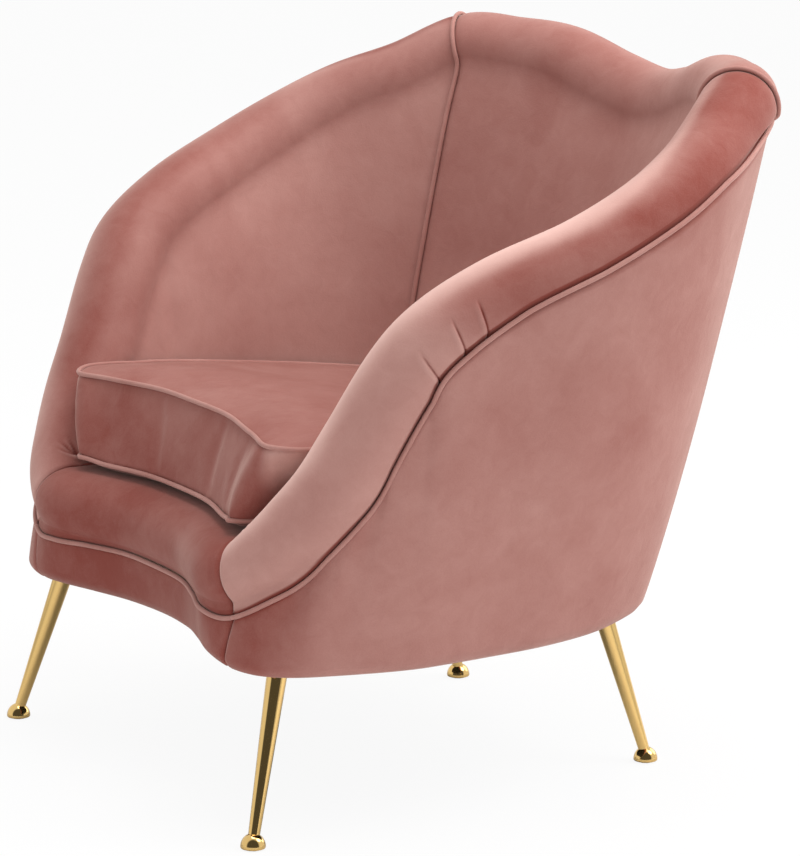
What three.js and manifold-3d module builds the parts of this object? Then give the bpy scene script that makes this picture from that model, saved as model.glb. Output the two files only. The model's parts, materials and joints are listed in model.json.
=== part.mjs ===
// Scallop back tub chair: a rolled, piped shell on splayed brass legs with a loose seat cushion.
// Millimetres, +Z up. The sitter faces -Y, +X is the sitter's left, and the origin is on the
// floor under the middle of the chair.
import * as THREE from 'three';
import { mergeVertices } from 'three/addons/utils/BufferGeometryUtils.js';
import Module from 'manifold-3d';

const wasm = await Module();
wasm.setup();

// Driving sizes of the whole chair
const chairWidth = 900;
const chairDepth = 732;
const chairHeight = 786;
const undersideShare = 0.229;
const deckShare = 0.3957;
const rollRadius = 44;
const undersideHeight = undersideShare * chairHeight;
const deckTop = deckShare * chairHeight;

// Upholstery
const coverThickness = 2.5;
const foamThickness = 21;
const noseFoamThickness = 24;
const gap = 0.4;
const pipingRadius = 3;
const pipingLift = 1;
const panelBulge = 8;
const frontBulgeShare = 0.35;
const bulgeGrowsShares = [-0.27, 0.18];
const bulgePower = 0.7;
const hemInset = 9;
const hemHeight = 14;
const deckRoom = 3;
const padBulge = 7;
const padFullShare = 0.25;
const deckTuck = 20;
const noseFlat = 66;
const noseFlatEnd = 34;
const dustCoverThickness = 1.5;

// Timber frame
const waddingRoom = 2;
const railThickness = 22;
const railRise = 30;
const railHeight = 40;
const hoopRadius = 13.5;
const postWidth = 36;
const postThickness = 13;
const railBottom = undersideHeight + railRise;
const railTop = railBottom + railHeight;
const blockSize = 62;
const blockHeight = 38;

// Seat webbing
const strapWidth = 50;
const strapThickness = 2;
const strapLap = 7;
const strapPitch = 120;
const strapCount = 4;

// Legs, domed feet and fixings
const footRadius = 13.5;
const footHeight = 17;
const footClearance = 1;
const footEdge = 1.5;
const legRadiusTop = 11.5;
const legRadiusFoot = 6;
const legSeat = 8;
const glideRadius = 9;
const glideDepth = 2.6;
const plateSize = 46;
const plateThickness = 3;
const studRadius = 4;
const studReach = 26;
const legHoleRadius = 13.2;
const frontLegShare = 0.2975;
const frontLegInset = 43.2;
const frontSplay = { x: 34, y: -48 };
const rearLegShare = 0.784;
const rearLegInset = 46.8;
const rearSplay = { x: 29, y: 44 };

// Loose cushion
const cushionBorder = 92;
const cushionSkirt = 8;
const cushionCrown = 27;
const cushionDrawIn = 6;
const cushionBandHeight = 26;
const cushionOverhang = 8.5;
const cushionFrontLean = 28.5;
const cushionSideGap = 7;
const cushionFlare = 6;
const cushionCornerLowShares = { x: 0.46, y: -0.4536 };
const cushionCornerHighShares = { x: 0.511, y: -0.4194 };
const cushionCornerReach = 11;
const coreGap = 1;
const cushionPipingLift = 1.8;
const zipLength = 220;
const zipWidth = 9;
const zipThickness = 1.8;
const sliderLength = 11;
const sliderHeight = 7;
const sliderThickness = 2.5;
const tabLength = 14;
const tabWidth = 5;
const tabThickness = 1.5;

// Half of the shell's plan, from the middle of the front round the left side to the middle of the
// back. The rolled edge's centre and the two plan curves are shares of the half width, of the
// depth from the middle, and of the height. The radius and the piping's reach are shares of the
// roll's radius. The last but one value is the angle in degrees at which the piping lies on the roll.
// rollX, rollY, rollZ, radius, baseX, baseY, pipingAngle, deckX, deckY, pipingReach
const stationShares = [
  [0.000, -0.400, 0.343, 0.93, 0.000, -0.434, -45, 0.000, -0.305, 1.08],
  [0.171, -0.405, 0.343, 0.93, 0.171, -0.443, -46, 0.160, -0.308, 1.08],
  [0.318, -0.428, 0.343, 0.93, 0.308, -0.464, -46, 0.295, -0.320, 1.12],
  [0.421, -0.445, 0.343, 0.93, 0.421, -0.484, -45, 0.420, -0.419, 1.20],
  [0.496, -0.441, 0.348, 0.93, 0.518, -0.492, -48, 0.458, -0.392, 1.28],
  [0.565, -0.425, 0.378, 0.97, 0.594, -0.485, -52, 0.496, -0.365, 1.24],
  [0.623, -0.395, 0.420, 1.02, 0.653, -0.465, -58, 0.535, -0.340, 1.10],
  [0.675, -0.362, 0.469, 1.05, 0.699, -0.425, -57, 0.580, -0.312, 1.02],
  [0.711, -0.325, 0.535, 1.05, 0.733, -0.357, -55, 0.611, -0.275, 1.00],
  [0.763, -0.276, 0.628, 1.05, 0.758, -0.274, -50, 0.631, -0.229, 1.00],
  [0.807, -0.229, 0.683, 1.05, 0.758, -0.206, -30, 0.641, -0.176, 1.00],
  [0.848, -0.149, 0.731, 1.03, 0.748, -0.131, -19, 0.645, -0.108, 1.00],
  [0.897, -0.033, 0.777, 1.03, 0.724, -0.026, -9, 0.645, -0.033, 1.00],
  [0.897, 0.074, 0.823, 1.03, 0.675, 0.072, -1, 0.636, 0.035, 1.00],
  [0.848, 0.163, 0.864, 1.03, 0.611, 0.143, 6, 0.616, 0.095, 1.00],
  [0.753, 0.243, 0.898, 1.02, 0.543, 0.196, 0, 0.601, 0.130, 0.97],
  [0.650, 0.321, 0.943, 0.97, 0.452, 0.235, -22, 0.577, 0.155, 0.90],
  [0.518, 0.367, 0.943, 0.97, 0.330, 0.259, -28, 0.440, 0.182, 0.92],
  [0.367, 0.404, 0.935, 1.00, 0.208, 0.271, -30, 0.293, 0.200, 0.97],
  [0.183, 0.430, 0.907, 1.00, 0.098, 0.277, -30, 0.147, 0.211, 1.00],
  [0.000, 0.440, 0.892, 1.00, 0.000, 0.279, -30, 0.000, 0.215, 1.00],
];
const mirroredColumns = new Set([0, 4, 7]);

// Stations of pieces, as shares of the way from the middle of the front to the middle of the back
const junctionShare = 0.2;
const collarShare = 0.8;
const railEndShare = 0.725;
const hoopStartShare = 0.26;
const postShares = { front: 0.39, middle: 0.61, rear: 0.84 };
const deckStartShare = 0.28;
const backFlatShare = 0.9;
const cushionFrontShares = [0, 0.05, 0.1, 0.15];
const cushionSideShare = 0.25;
const backCentre = stationShares.length - 1;
const frontJunction = junctionShare * backCentre;
const collar = collarShare * backCentre;

// How finely the shell is divided
const armColumns = 18;
const backColumns = 13;
const noseColumns = 15;
const railColumns = 11;
const backRailColumns = 9;
const outlineSides = 50;
const hoopSteps = 36;
const collarSteps = 22;
const rollRows = 7;
const panelRowShares = [0, 0.06, 0.2, 0.45, 0.72, 1];
const apronRowShares = [0, 0.15, 0.5, 1];
const circleSides = 16;
const pinSides = 10;
const chordShares = [0.1, 0.5, 0.9];
const domeRows = 5;
const pipingSides = 6;

// One row of the station table, mirrored past the two ends
function stationRow(index) {
  const past = index > backCentre;
  const inside = Math.abs(past ? 2 * backCentre - index : index);
  const sign = index < 0 || past ? -1 : 1;
  return stationShares[inside].map((v, c) => (mirroredColumns.has(c) ? sign * v : v));
}

// A smooth row between the stations
function smoothRow(t) {
  const i = Math.floor(t);
  const f = t - i;
  const [a, b, c, d] = [-1, 0, 1, 2].map((k) => stationRow(i + k));
  return b.map((v, k) => 0.5 * (2 * v + (c[k] - a[k]) * f
    + (2 * a[k] - 5 * v + 4 * c[k] - d[k]) * f ** 2
    + (3 * v - a[k] - 3 * c[k] + d[k]) * f ** 3));
}

function rollCentre(t) {
  const row = smoothRow(t);
  return new THREE.Vector3(row[0] * chairWidth / 2, row[1] * chairDepth, row[2] * chairHeight);
}

// The roll's centre, radius and cross directions, and the plan curves at the hem and the deck
function station(t) {
  const row = smoothRow(t);
  const step = 0.001;
  const along = rollCentre(t + step).sub(rollCentre(t - step)).normalize();
  const out = new THREE.Vector3(along.y, -along.x, 0).normalize();
  return {
    centre: rollCentre(t),
    radius: row[3] * rollRadius,
    out,
    up: out.clone().cross(along),
    base: new THREE.Vector3(row[4] * chairWidth / 2, row[5] * chairDepth, undersideHeight),
    deck: new THREE.Vector3(row[7] * chairWidth / 2, row[8] * chairDepth, deckTop),
    pipingAngle: row[6],
    pipingReach: row[9],
  };
}

function onRoll(s, degrees, reach) {
  const angle = THREE.MathUtils.degToRad(degrees);
  return s.centre.clone()
    .addScaledVector(s.out, Math.cos(angle) * reach)
    .addScaledVector(s.up, Math.sin(angle) * reach);
}

const pipingPoint = (s) => onRoll(s, s.pipingAngle, s.radius * s.pipingReach);
const pipingCentre = (s) => onRoll(s, s.pipingAngle, s.radius * s.pipingReach + pipingLift);

// A point on the outside panel, from the hem at 0 to the piping at 1
function panelPoint(t, share) {
  const s = station(t);
  const top = pipingPoint(s);
  const rise = share * (top.z - undersideHeight);
  const depthShare = s.centre.y / chairDepth;
  const rearShare = THREE.MathUtils.clamp(THREE.MathUtils.inverseLerp(...bulgeGrowsShares, depthShare), 0, 1);
  const swell = panelBulge * THREE.MathUtils.lerp(frontBulgeShare, 1, rearShare);
  const hem = hemInset * Math.max(0, 1 - rise / hemHeight) ** 2;
  const bulge = swell * Math.sin(Math.PI * Math.min(1, share) ** bulgePower) - hem;
  return s.base.lerp(top, share).addScaledVector(s.out, bulge);
}

// The share of the outside panel's height at which it reaches a level
function shareAt(t, level) {
  return (level - undersideHeight) / (pipingPoint(station(t)).z - undersideHeight);
}

// The inner side of an arm or the back: piping, round the roll, down to behind the cushion
const rollStartAngle = 12;
const rollEndAngle = 190;
function rollRowsOf(s, end, count) {
  const points = [pipingPoint(s)];
  for (let k = 0; k < count; k += 1) {
    points.push(onRoll(s, THREE.MathUtils.lerp(s.pipingAngle + rollStartAngle, end, k / (count - 1)), s.radius));
  }
  return { points, normals: points.map((p) => p.clone().sub(s.centre).normalize()) };
}

function innerRows(t) {
  const s = station(t);
  const dip = THREE.MathUtils.clamp((deckTop - s.centre.z) / s.radius, -1, 1);
  const end = Math.min(rollEndAngle, 180 - THREE.MathUtils.radToDeg(Math.asin(dip)));
  const { points, normals } = rollRowsOf(s, end, rollRows);
  const low = s.deck.clone().setZ(deckTop - deckTuck);
  const last = points[points.length - 1];
  const down = low.clone().sub(last).normalize();
  const facing = s.out.clone().negate();
  facing.addScaledVector(down, -facing.dot(down)).normalize();
  const bulge = padBulge * THREE.MathUtils.clamp((last.z - low.z) / (padFullShare * chairHeight), 0, 1);
  points.push(last.clone().lerp(low, 0.5).addScaledVector(facing, bulge), low);
  normals.push(facing, facing);
  return { points, normals };
}

// The nose across the front: piping, over the rounded lip, and flat onto the deck
function noseRows(t) {
  const s = station(t);
  const { points, normals } = rollRowsOf(s, 90, rollRows - 1);
  const flat = THREE.MathUtils.lerp(noseFlat, noseFlatEnd, (t / frontJunction) ** 2);
  points.push(points[points.length - 1].clone().addScaledVector(s.out, -flat));
  normals.push(s.up);
  return { points, normals };
}

// The outside panel at shares of its height
function panelRows(sharesAt) {
  const step = 0.02;
  return (t) => {
    const shares = sharesAt(t);
    const points = shares.map((share) => panelPoint(t, share));
    const normals = shares.map((share, j) => {
      const along = panelPoint(t + step, share).sub(panelPoint(t - step, share));
      const rise = points[Math.min(j + 1, points.length - 1)].clone().sub(points[Math.max(j - 1, 0)]);
      return along.cross(rise).normalize();
    });
    return { points, normals };
  };
}

// Steps between two stations, even along the piping so that it can follow the panels' edges
function evenSteps(from, to, count) {
  const fine = 400;
  const lengths = [0];
  let last = pipingCentre(station(from));
  for (let k = 1; k <= fine; k += 1) {
    const next = pipingCentre(station(from + (to - from) * k / fine));
    lengths.push(lengths[k - 1] + next.distanceTo(last));
    last = next;
  }
  const steps = [];
  for (let n = 0; n < count; n += 1) {
    const goal = lengths[fine] * n / (count - 1);
    const k = Math.max(1, lengths.findIndex((v) => v >= goal));
    const part = (goal - lengths[k - 1]) / (lengths[k] - lengths[k - 1]);
    steps.push(from + (to - from) * (k - 1 + part) / fine);
  }
  steps[count - 1] = to;
  return steps;
}

function movedTowards(point, other, distance) {
  const step = other.clone().sub(point);
  return point.clone().addScaledVector(step.normalize(), distance);
}

// A grid over the shell, with the outward direction at each point
function gridOf(steps, rowsAt) {
  const columns = steps.map(rowsAt);
  return { points: columns.map((c) => c.points), normals: columns.map((c) => c.normals) };
}

// A grid with its edges drawn back to leave room for seams and piping, measured square to the edge
function trimmed(grid, { first = 0, last = 0, low = 0, high = 0 }) {
  const points = grid.points.map((column) => column.map((p) => p.clone()));
  const end = points.length - 1;
  const drawnBack = (i, row, next, distance) => {
    const edge = grid.points[Math.min(i + 1, end)][row].clone().sub(grid.points[Math.max(i - 1, 0)][row]);
    const rise = grid.points[i][next].clone().sub(grid.points[i][row]);
    return movedTowards(grid.points[i][row], grid.points[i][next], distance / Math.sin(edge.angleTo(rise)));
  };
  points.forEach((column, i) => {
    const top = column.length - 1;
    column[0] = drawnBack(i, 0, 1, low);
    column[top] = drawnBack(i, top, top - 1, high);
  });
  const firstColumn = points[0].map((p, j) => movedTowards(p, points[1][j], first));
  const lastColumn = points[end].map((p, j) => movedTowards(p, points[end - 1][j], last));
  return { points: [firstColumn, ...points.slice(1, end), lastColumn], normals: grid.normals };
}

function geometryFrom(points, faces) {
  const geometry = new THREE.BufferGeometry();
  geometry.setAttribute('position', new THREE.Float32BufferAttribute(points.flatMap((p) => [p.x, p.y, p.z]), 3));
  geometry.setIndex(faces.flat());
  geometry.computeVertexNormals();
  return geometry;
}

// A closed sheet between two depths under a grid
function sheet({ points: grid, normals }, from, to) {
  const columns = grid.length;
  const rows = grid[0].length;
  const layer = (depth) => grid.flatMap((column, i) => (
    column.map((p, j) => p.clone().addScaledVector(normals[i][j], -depth))));
  const points = [...layer(from), ...layer(to)];
  const outer = (i, j) => i * rows + j;
  const inner = (i, j) => columns * rows + outer(i, j);
  const faces = [];
  const quad = (a, b, c, d) => faces.push([a, b, c], [a, c, d]);
  for (let i = 0; i < columns - 1; i += 1) {
    for (let j = 0; j < rows - 1; j += 1) {
      quad(outer(i, j), outer(i + 1, j), outer(i + 1, j + 1), outer(i, j + 1));
      faces.push([inner(i, j), inner(i + 1, j + 1), inner(i + 1, j)]);
      faces.push([inner(i, j), inner(i, j + 1), inner(i + 1, j + 1)]);
    }
    quad(inner(i, 0), inner(i + 1, 0), outer(i + 1, 0), outer(i, 0));
    quad(outer(i, rows - 1), outer(i + 1, rows - 1), inner(i + 1, rows - 1), inner(i, rows - 1));
  }
  const end = columns - 1;
  for (let j = 0; j < rows - 1; j += 1) {
    quad(outer(0, j), outer(0, j + 1), inner(0, j + 1), inner(0, j));
    quad(outer(end, j), inner(end, j), inner(end, j + 1), outer(end, j + 1));
  }
  return geometryFrom(points, faces);
}

// The same piece on the sitter's other side
function mirrored(geometry) {
  const source = geometry.index ? geometry : mergeVertices(positionsOnly(geometry));
  const place = source.attributes.position;
  const points = [];
  for (let k = 0; k < place.count; k += 1) {
    points.push(new THREE.Vector3(-place.getX(k), place.getY(k), place.getZ(k)));
  }
  const faces = [];
  for (let k = 0; k < source.index.count; k += 3) {
    faces.push([source.index.getX(k), source.index.getX(k + 2), source.index.getX(k + 1)]);
  }
  return geometryFrom(points, faces);
}

function positionsOnly(geometry) {
  const bare = geometry.clone();
  for (const name of Object.keys(bare.attributes)) {
    if (name !== 'position') bare.deleteAttribute(name);
  }
  return bare;
}

// Joining and cutting of closed solids
function solid(geometry) {
  const merged = mergeVertices(positionsOnly(geometry));
  const index = merged.index.array;
  const corners = [];
  for (let k = 0; k < index.length; k += 3) {
    const [a, b, c] = index.slice(k, k + 3);
    if (a !== b && b !== c && c !== a) corners.push(a, b, c);
  }
  return new wasm.Manifold(new wasm.Mesh({
    numProp: 3,
    vertProperties: new Float32Array(merged.attributes.position.array),
    triVerts: new Uint32Array(corners),
  }));
}

function geometryOf(body) {
  const pieces = body.decompose();
  const largest = pieces.reduce((a, b) => (a.volume() >= b.volume() ? a : b));
  const mesh = largest.getMesh();
  const geometry = new THREE.BufferGeometry();
  geometry.setAttribute('position', new THREE.Float32BufferAttribute(mesh.vertProperties, 3));
  geometry.setIndex(Array.from(mesh.triVerts));
  geometry.computeVertexNormals();
  return geometry;
}

function cut(geometry, ...tools) {
  return geometryOf(tools.reduce((body, tool) => body.subtract(solid(tool)), solid(geometry)));
}

function joined(...geometries) {
  return geometryOf(geometries.map(solid).reduce((a, b) => a.add(b)));
}

function box(width, depth, height, x, y, z) {
  return new THREE.BoxGeometry(width, depth, height).translate(x, y, z);
}

// An upright round disc or pin standing on a level
function pin(radius, height, x, y, z) {
  return new THREE.CylinderGeometry(radius, radius, height, pinSides)
    .rotateX(Math.PI / 2).translate(x, y, z + height / 2);
}

// A tapered round bar between two points
function taper(from, to, radiusFrom, radiusTo) {
  const axis = to.clone().sub(from);
  const turn = new THREE.Quaternion().setFromUnitVectors(new THREE.Vector3(0, 1, 0), axis.clone().normalize());
  const middle = from.clone().lerp(to, 0.5);
  return new THREE.CylinderGeometry(radiusTo, radiusFrom, axis.length(), circleSides)
    .applyQuaternion(turn).translate(middle.x, middle.y, middle.z);
}

// A flat slab with a free outline, standing on a level
function slab(outline, height, z, holes = []) {
  const shape = new THREE.Shape(outline.map((p) => new THREE.Vector2(p.x, p.y)));
  for (const hole of holes) {
    const circle = new THREE.EllipseCurve(hole.x, hole.y, hole.radius, hole.radius);
    shape.holes.push(new THREE.Path(circle.getPoints(circleSides)));
  }
  return new THREE.ExtrudeGeometry(shape, { depth: height, bevelEnabled: false }).translate(0, 0, z);
}

// A many-sided bar along a curve
function bar(points, radius, steps, sides) {
  const section = new THREE.Shape();
  for (let k = 0; k < sides; k += 1) {
    const angle = 2 * Math.PI * k / sides;
    const [x, y] = [radius * Math.cos(angle), radius * Math.sin(angle)];
    if (k === 0) section.moveTo(x, y);
    else section.lineTo(x, y);
  }
  section.closePath();
  const curve = new THREE.CatmullRomCurve3(points, false, 'centripetal');
  curve.arcLengthDivisions = steps * 20;
  return new THREE.ExtrudeGeometry(section, { steps, extrudePath: curve, bevelEnabled: false });
}

// Finishes
const velvet = { color: 0xb27a71, roughness: 0.85, metalness: 0 };
const velvetSeat = { color: 0xa9716a, roughness: 0.85, metalness: 0 };
const foam = { color: 0xe8dfc8, roughness: 0.95, metalness: 0 };
const timber = { color: 0xc9a878, roughness: 0.8, metalness: 0 };
const brass = { color: 0xd9b45c, roughness: 0.18, metalness: 1 };
const steel = { color: 0x9a9da0, roughness: 0.4, metalness: 1 };
const lining = { color: 0x2b2a2a, roughness: 0.95, metalness: 0 };
const webbing = { color: 0x7a6a54, roughness: 0.9, metalness: 0 };
const nylon = { color: 0x3a3a3c, roughness: 0.6, metalness: 0 };

const chair = new THREE.Group();

function add(name, geometry, finish) {
  const mesh = new THREE.Mesh(geometry, new THREE.MeshStandardMaterial(finish));
  mesh.name = name;
  chair.add(mesh);
}

function addPair(name, geometry, finish) {
  add(`${name}_left`, geometry, finish);
  add(`${name}_right`, mirrored(geometry), finish);
}

// Room that a sewn-in piping takes from the panels on both sides of its seam
const pipingRoom = pipingRadius + 1.5 * gap;
const seamRoom = gap / 2;
const cutRoom = 2 * gap;
const panelRoom = pipingRoom + pipingLift + 3 * gap;
const foamTop = coverThickness + gap;

// A tool that clears a sheet with some room to spare
function space(shape, from, to) {
  const wide = trimmed(shape, { first: -cutRoom, last: -cutRoom, low: -cutRoom, high: -cutRoom });
  return sheet(wide, from - cutRoom, to + cutRoom);
}

// Inner arms with their rolled edge
const armSteps = evenSteps(frontJunction, collar, armColumns);
const armShape = trimmed(gridOf(armSteps, innerRows), { first: seamRoom, last: pipingRoom, low: pipingRoom });
addPair('arm_cover', sheet(armShape, 0, coverThickness), velvet);
addPair('arm_foam', sheet(armShape, foamTop, foamTop + foamThickness), foam);
const armSpace = space(armShape, 0, foamTop + foamThickness);
const armSpaces = [armSpace, mirrored(armSpace)];

// Inner back between the collars
const backSteps = evenSteps(collar, 2 * backCentre - collar, backColumns);
const backShape = trimmed(gridOf(backSteps, innerRows), { first: pipingRoom, last: pipingRoom, low: pipingRoom });
add('back_cover', sheet(backShape, 0, coverThickness), velvet);
add('back_foam', sheet(backShape, foamTop, foamTop + foamThickness), foam);
const backSpace = space(backShape, 0, foamTop + foamThickness);

// Nose across the front
const noseSteps = evenSteps(-frontJunction, frontJunction, noseColumns);
const noseShape = trimmed(gridOf(noseSteps, noseRows), { first: seamRoom, last: seamRoom, low: pipingRoom });
add('nose_cover', cut(sheet(noseShape, 0, coverThickness), ...armSpaces), velvet);
add('nose_foam', cut(sheet(noseShape, foamTop, foamTop + noseFoamThickness), ...armSpaces), foam);
const noseSpace = space(noseShape, 0, foamTop + noseFoamThickness);

// Outside panels, seamed at the front corners and down the middle of the back
const sideSteps = [...armSteps, ...backSteps.slice(1, (backColumns + 1) / 2)];
const sideShape = trimmed(gridOf(sideSteps, panelRows(() => panelRowShares)),
  { first: seamRoom, last: seamRoom, high: panelRoom });
addPair('outside_cover', sheet(sideShape, 0, coverThickness), velvet);
const apronShape = trimmed(gridOf(noseSteps, panelRows(() => apronRowShares)),
  { first: seamRoom, last: seamRoom, high: panelRoom });
add('apron_cover', sheet(apronShape, 0, coverThickness), velvet);

// Piping round the outside, over the collars and down the inner seams
function pipingAlong(from, to, steps) {
  const points = [];
  const count = 8 * steps;
  for (let k = 0; k <= count; k += 1) points.push(pipingCentre(station(THREE.MathUtils.lerp(from, to, k / count))));
  points[0] = movedTowards(points[0], points[1], seamRoom);
  points[count] = movedTowards(points[count], points[count - 1], seamRoom);
  return bar(points, pipingRadius, steps, pipingSides);
}

function collarPath() {
  const { points, normals } = innerRows(collar);
  const lifted = points.map((p, j) => p.clone().addScaledVector(normals[j], pipingLift));
  lifted[0] = movedTowards(lifted[0], lifted[1], -pipingRadius);
  const [last, middle, low] = lifted.slice(-3);
  const between = (a, b) => chordShares.map((share) => a.clone().lerp(b, share));
  return [...lifted.slice(0, -2), ...between(last, middle), middle, ...between(middle, low), low];
}
addPair('collar_piping', bar(collarPath(), pipingRadius, collarSteps, pipingSides), velvet);
const collarSpace = bar(collarPath(), pipingRoom, collarSteps, pipingSides);
const collarSpaces = [collarSpace, mirrored(collarSpace)];
addPair('arm_piping', cut(pipingAlong(frontJunction, collar, armColumns - 1), collarSpace), velvet);
const backPiping = pipingAlong(collar, 2 * backCentre - collar, backColumns - 1);
add('back_piping', cut(backPiping, ...collarSpaces), velvet);
add('apron_piping', pipingAlong(-frontJunction, frontJunction, noseColumns - 1), velvet);

// Base rails behind the outside panels
const plateBottom = undersideHeight + dustCoverThickness + gap;
const blockBottom = plateBottom + plateThickness + gap;
const railDepth = foamTop + waddingRoom;
const levelRows = panelRows((t) => [railBottom, railTop].map((level) => shareAt(t, level)));
function railRows(t) {
  const { points, normals } = levelRows(t);
  return { points, normals: normals.map((n) => n.setZ(0).normalize()) };
}
function rail(steps) {
  const shape = trimmed(gridOf(steps, railRows), { first: seamRoom, last: seamRoom });
  return sheet(shape, railDepth, railDepth + railThickness);
}
function railSpace(steps) {
  const reach = railBottom - undersideHeight;
  const wide = trimmed(gridOf(steps, railRows), { first: -cutRoom, last: -cutRoom, low: -reach, high: -cutRoom });
  return sheet(wide, -coverThickness, railDepth + railThickness + 2 * cutRoom);
}
const railEnd = railEndShare * backCentre;
const sideRailSteps = evenSteps(frontJunction, railEnd, railColumns);
const backRailSteps = evenSteps(railEnd, 2 * backCentre - railEnd, backRailColumns);
add('rail_front', cut(rail(noseSteps), noseSpace, ...armSpaces), timber);
addPair('rail_side', cut(rail(sideRailSteps), armSpace), timber);
add('rail_back', rail(backRailSteps), timber);

// Top hoop inside the rolled edge, on posts from the base rails
const hoopStart = hoopStartShare * backCentre;
const hoopPath = evenSteps(hoopStart, 2 * backCentre - hoopStart, hoopSteps + 1).map(rollCentre);
add('top_hoop', bar(hoopPath, hoopRadius, hoopSteps, pipingSides), timber);
const hoopSpace = bar(hoopPath, hoopRadius + gap, hoopSteps, pipingSides);
function post(t) {
  const s = station(t);
  const { points: [, edge], normals: [, facing] } = railRows(t);
  const foot = edge.addScaledVector(facing, -railDepth - postThickness / 2 - gap);
  foot.z = railTop + gap;
  const corners = [[-1, -1], [1, -1], [1, 1], [-1, 1]];
  const ring = (centre, across) => corners.map(([a, b]) => centre.clone()
    .addScaledVector(new THREE.Vector3(-across.y, across.x, 0), a * postWidth / 2)
    .addScaledVector(across, b * postThickness / 2));
  const points = [...ring(foot, facing), ...ring(s.centre, s.out)];
  const faces = [[0, 1, 2], [0, 2, 3], [4, 6, 5], [4, 7, 6]];
  for (let k = 0; k < corners.length; k += 1) {
    const next = (k + 1) % corners.length;
    faces.push([k, next + 4, next], [k, k + 4, next + 4]);
  }
  return cut(geometryFrom(points, faces), hoopSpace, armSpace, backSpace);
}
for (const [place, share] of Object.entries(postShares)) addPair(`post_${place}`, post(share * backCentre), timber);

// Webbing across the rails
function railFaceY(x, from, to) {
  const fine = 300;
  let nearest = null;
  for (let k = 0; k <= fine; k += 1) {
    const t = THREE.MathUtils.lerp(from, to, k / fine);
    const { points: [, edge], normals: [, facing] } = railRows(t);
    const inner = edge.addScaledVector(facing, -railDepth - railThickness);
    if (!nearest || Math.abs(inner.x - x) < Math.abs(nearest.x - x)) nearest = inner;
  }
  return nearest.y;
}
const strapZ = railTop + gap + strapThickness / 2;
for (let k = 0; k < strapCount; k += 1) {
  const x = strapPitch * (k - (strapCount - 1) / 2);
  const sides = [x - strapWidth / 2, x + strapWidth / 2];
  const front = Math.max(...sides.map((side) => railFaceY(side, -frontJunction, frontJunction))) - strapLap;
  const back = Math.min(...sides.map((side) => railFaceY(side, railEnd, 2 * backCentre - railEnd))) + strapLap;
  add(`strap_${k + 1}`, box(strapWidth, back - front, strapThickness, x, (front + back) / 2, strapZ), webbing);
}

// Sprung deck under the cushion
const deckBottom = railTop + strapThickness + 2 * gap;
const deckStart = deckStartShare * backCentre;
const deckSkipCount = 3;
const deckEdge = [...armSteps, ...backSteps.slice(1, -1), ...armSteps.map((t) => 2 * backCentre - t).reverse()]
  .filter((t) => t > deckStart && t < 2 * backCentre - deckStart && t !== collar && t !== 2 * backCentre - collar)
  .map((t) => station(t)).map((s) => s.deck.clone().addScaledVector(s.out, -deckRoom));
const deckFront = noseSteps.slice(deckSkipCount, -deckSkipCount).map((t) => {
  const { points: [, edge], normals: [, facing] } = railRows(t);
  return edge.addScaledVector(facing, -railDepth - railThickness - gap);
});
const deckSlab = slab([...deckFront, ...deckEdge], deckTop - deckBottom, deckBottom);
add('seat_deck', cut(deckSlab, noseSpace, ...armSpaces, backSpace), foam);

// Dust cover under the frame, with holes for the legs
function legTop(t, inset) {
  const s = station(t);
  return s.base.addScaledVector(s.out, -inset);
}
const frontTop = legTop(frontLegShare * backCentre, frontLegInset);
const rearTop = legTop(rearLegShare * backCentre, rearLegInset);
const legTops = [frontTop, rearTop].flatMap(({ x, y }) => [{ x, y }, { x: -x, y }]);
const hemSteps = [...noseSteps.slice(0, -1), ...sideSteps.slice(0, -1),
  ...sideSteps.map((t) => 2 * backCentre - t).reverse().slice(0, -1)];
const hemOutline = hemSteps.map((t) => panelPoint(t, 0).addScaledVector(station(t).out, -foamTop - waddingRoom));
const legHoles = legTops.map(({ x, y }) => ({ x, y, radius: legHoleRadius }));
add('dust_cover', slab(hemOutline, dustCoverThickness, undersideHeight, legHoles), lining);

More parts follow.
